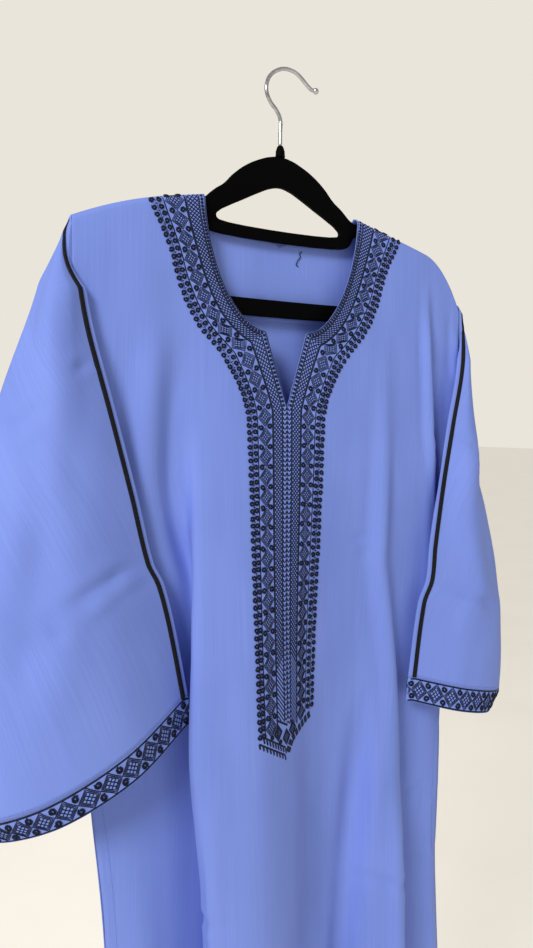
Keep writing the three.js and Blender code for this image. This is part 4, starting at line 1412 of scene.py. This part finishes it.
# the sewing that shows: hems, facing, pocket mouths and cuffs
sewing = {
    "pitch": 2.9, "length": 2.1, "thread": 0.2, "onCloth": 0.45, "inCloth": -1.5, "hemUp": 22.0,
    "facingIn": 3.5, "facingTopZ": -140, "pocketIn": 9.0, "sleeveUp": 2.6, "neckBelow": 2.6,
}
stitchSizes = {
    "Pitch": sewing["pitch"] * mm, "Length": sewing["length"] * mm, "Thread radius": sewing["thread"] * mm,
}


def sew(name, lines, cloth, lift):
    # one piece of short stitches along lines drawn in cloth coordinates
    spots, edges = [], []
    for line in lines:
        flat = stepped(line, 4.0)
        start = sum(len(s) for s in spots)
        spots.append(cloth.place(flat[:, 0], flat[:, 1], np.full(len(flat), lift)))
        edges += [(start + i, start + i + 1) for i in range(len(flat) - 1)]
    grow("sewing_" + name, np.concatenate(spots), stitchRows, blueThread, stitchSizes, "cloth", edges)


def edgeSpot(panel, side, level, inside):
    # a spot that far inside the side seam
    return side * (float(panel.seamReach(side, np.array([level]))[0]) - inside), level


def hemSeam(panel):
    level = garment["hemZ"] + sewing["hemUp"]
    return [edgeSpot(panel, -1, level, 2), (0, level), edgeSpot(panel, 1, level, 2)]


frontSeams = [hemSeam(front)]
for side in (-1, 1):
    top, low = pocket["topZ"] + 6, pocket["bottomZ"] - 6
    mouth = [edgeSpot(front, side, z, sewing["pocketIn"]) for z in np.linspace(top, low, 9)]
    frontSeams.append([edgeSpot(front, side, top + 6, 1.5), *mouth, edgeSpot(front, side, low - 6, 1.5)])
sew("front", frontSeams, front, sewing["onCloth"])

neckLevels = np.linspace(-131, -160.8, 30)
neckline = [
    (side * (float(neckHalfBack(z)) + 0.6), z - sewing["neckBelow"])
    for side, levels in ((-1, neckLevels), (1, neckLevels[::-1]))
    for z in levels
]
low = facing["bottomZ"] + sewing["facingIn"]
rim = facing["half"] - sewing["facingIn"]
high = sewing["facingTopZ"]
facingEdge = [(-rim, high), (-rim, low), (0, low), (rim, low), (rim, high)]
sew("facing", [neckline, facingEdge], back, sewing["inCloth"])
sew("back", [hemSeam(back)], back, sewing["onCloth"])
for side, cuff in cuffs.items():
    level = sleeves[side].end + sewing["sleeveUp"]
    sew("sleeve_" + sleeveNames[side], [[(1.5, level), (cuff.total - 1.5, level)]], cuff, sewing["onCloth"])

# a loose end of dark thread on the inside of the back, below the neck
tail = {
    "route": [(24, -166.5), (21.5, -169), (22.5, -172), (19, -176), (17.5, -180), (20, -181.5)],
    "width": 0.9, "height": 0.7, "inside": -2.0,
}
tailLine = [(stepped(tail["route"], 0.8), tail["width"])]
tailPlace = lambda reach, level, lift: back.place(reach, level, tail["inside"] - lift)
stitchMesh("thread_end", tailLine, tailPlace, tail["height"], 0.0)
print("stage: sewing made")

view = {"place": (-0.328, -0.572, -0.333), "along": (0.471, 0.882, 0.0), "lens": 26.58, "shift": -0.0517}
cameraData = bpy.data.cameras.new("view")
cameraData.lens = view["lens"]
cameraData.sensor_width = 36.0
cameraData.shift_y = view["shift"]
cameraData.clip_start = 0.01
camera = addObject("view", cameraData)
camera.location = view["place"]
camera.rotation_euler = Vector(view["along"]).to_track_quat("-Z", "Y").to_euler()
bpy.context.scene.camera = camera

# each lamp's place, size, power and colour
lamps = {
    "key": ((-2.0, -1.4, 1.05), 0.9, 60.0, (1.0, 0.98, 0.95)),
    "fill": ((1.6, -1.8, 0.1), 2.0, 2.0, (0.95, 0.97, 1.0)),
    "rear": ((0.6, 2.0, 0.6), 1.8, 10.0, (1.0, 0.99, 0.97)),
}
lampAim = Vector((0, 0, -0.55))  # about the middle of what is seen
for name, (place, size, power, colour) in lamps.items():
    lampData = bpy.data.lights.new(name, "AREA")
    lampData.shape = "DISK"
    lampData.size = size
    lampData.energy = power
    lampData.color = colour
    lamp = addObject(name, lampData)
    lamp.location = place
    lamp.rotation_euler = (lampAim - Vector(place)).to_track_quat("-Z", "Y").to_euler()

floorMesh = bpy.data.meshes.new("floor")
floorHalf, floorZ = 30, -1.6
floorCorners = [(x * floorHalf, y * floorHalf, floorZ) for x, y in ((-1, -1), (1, -1), (1, 1), (-1, 1))]
floorMesh.from_pydata(floorCorners, [], [(0, 1, 2, 3)])
floor = addObject("floor", floorMesh)
floorMesh.materials.append(makeFloor())

world = bpy.context.scene.world or bpy.data.worlds.new("world")
bpy.context.scene.world = world
world.use_nodes = True
background = world.node_tree.nodes["Background"]
background.inputs["Color"].default_value = (*surround["colour"], 1)
seen = addNode(world.node_tree, "ShaderNodeLightPath").outputs["Is Camera Ray"]
gain = surround["seen"] - surround["light"]
strength = mathNode(world.node_tree, "MULTIPLY_ADD", seen, gain, surround["light"])
world.node_tree.links.new(strength, background.inputs["Strength"])
bpy.context.scene.view_settings.view_transform = "Standard"
print("stage: light and camera set")
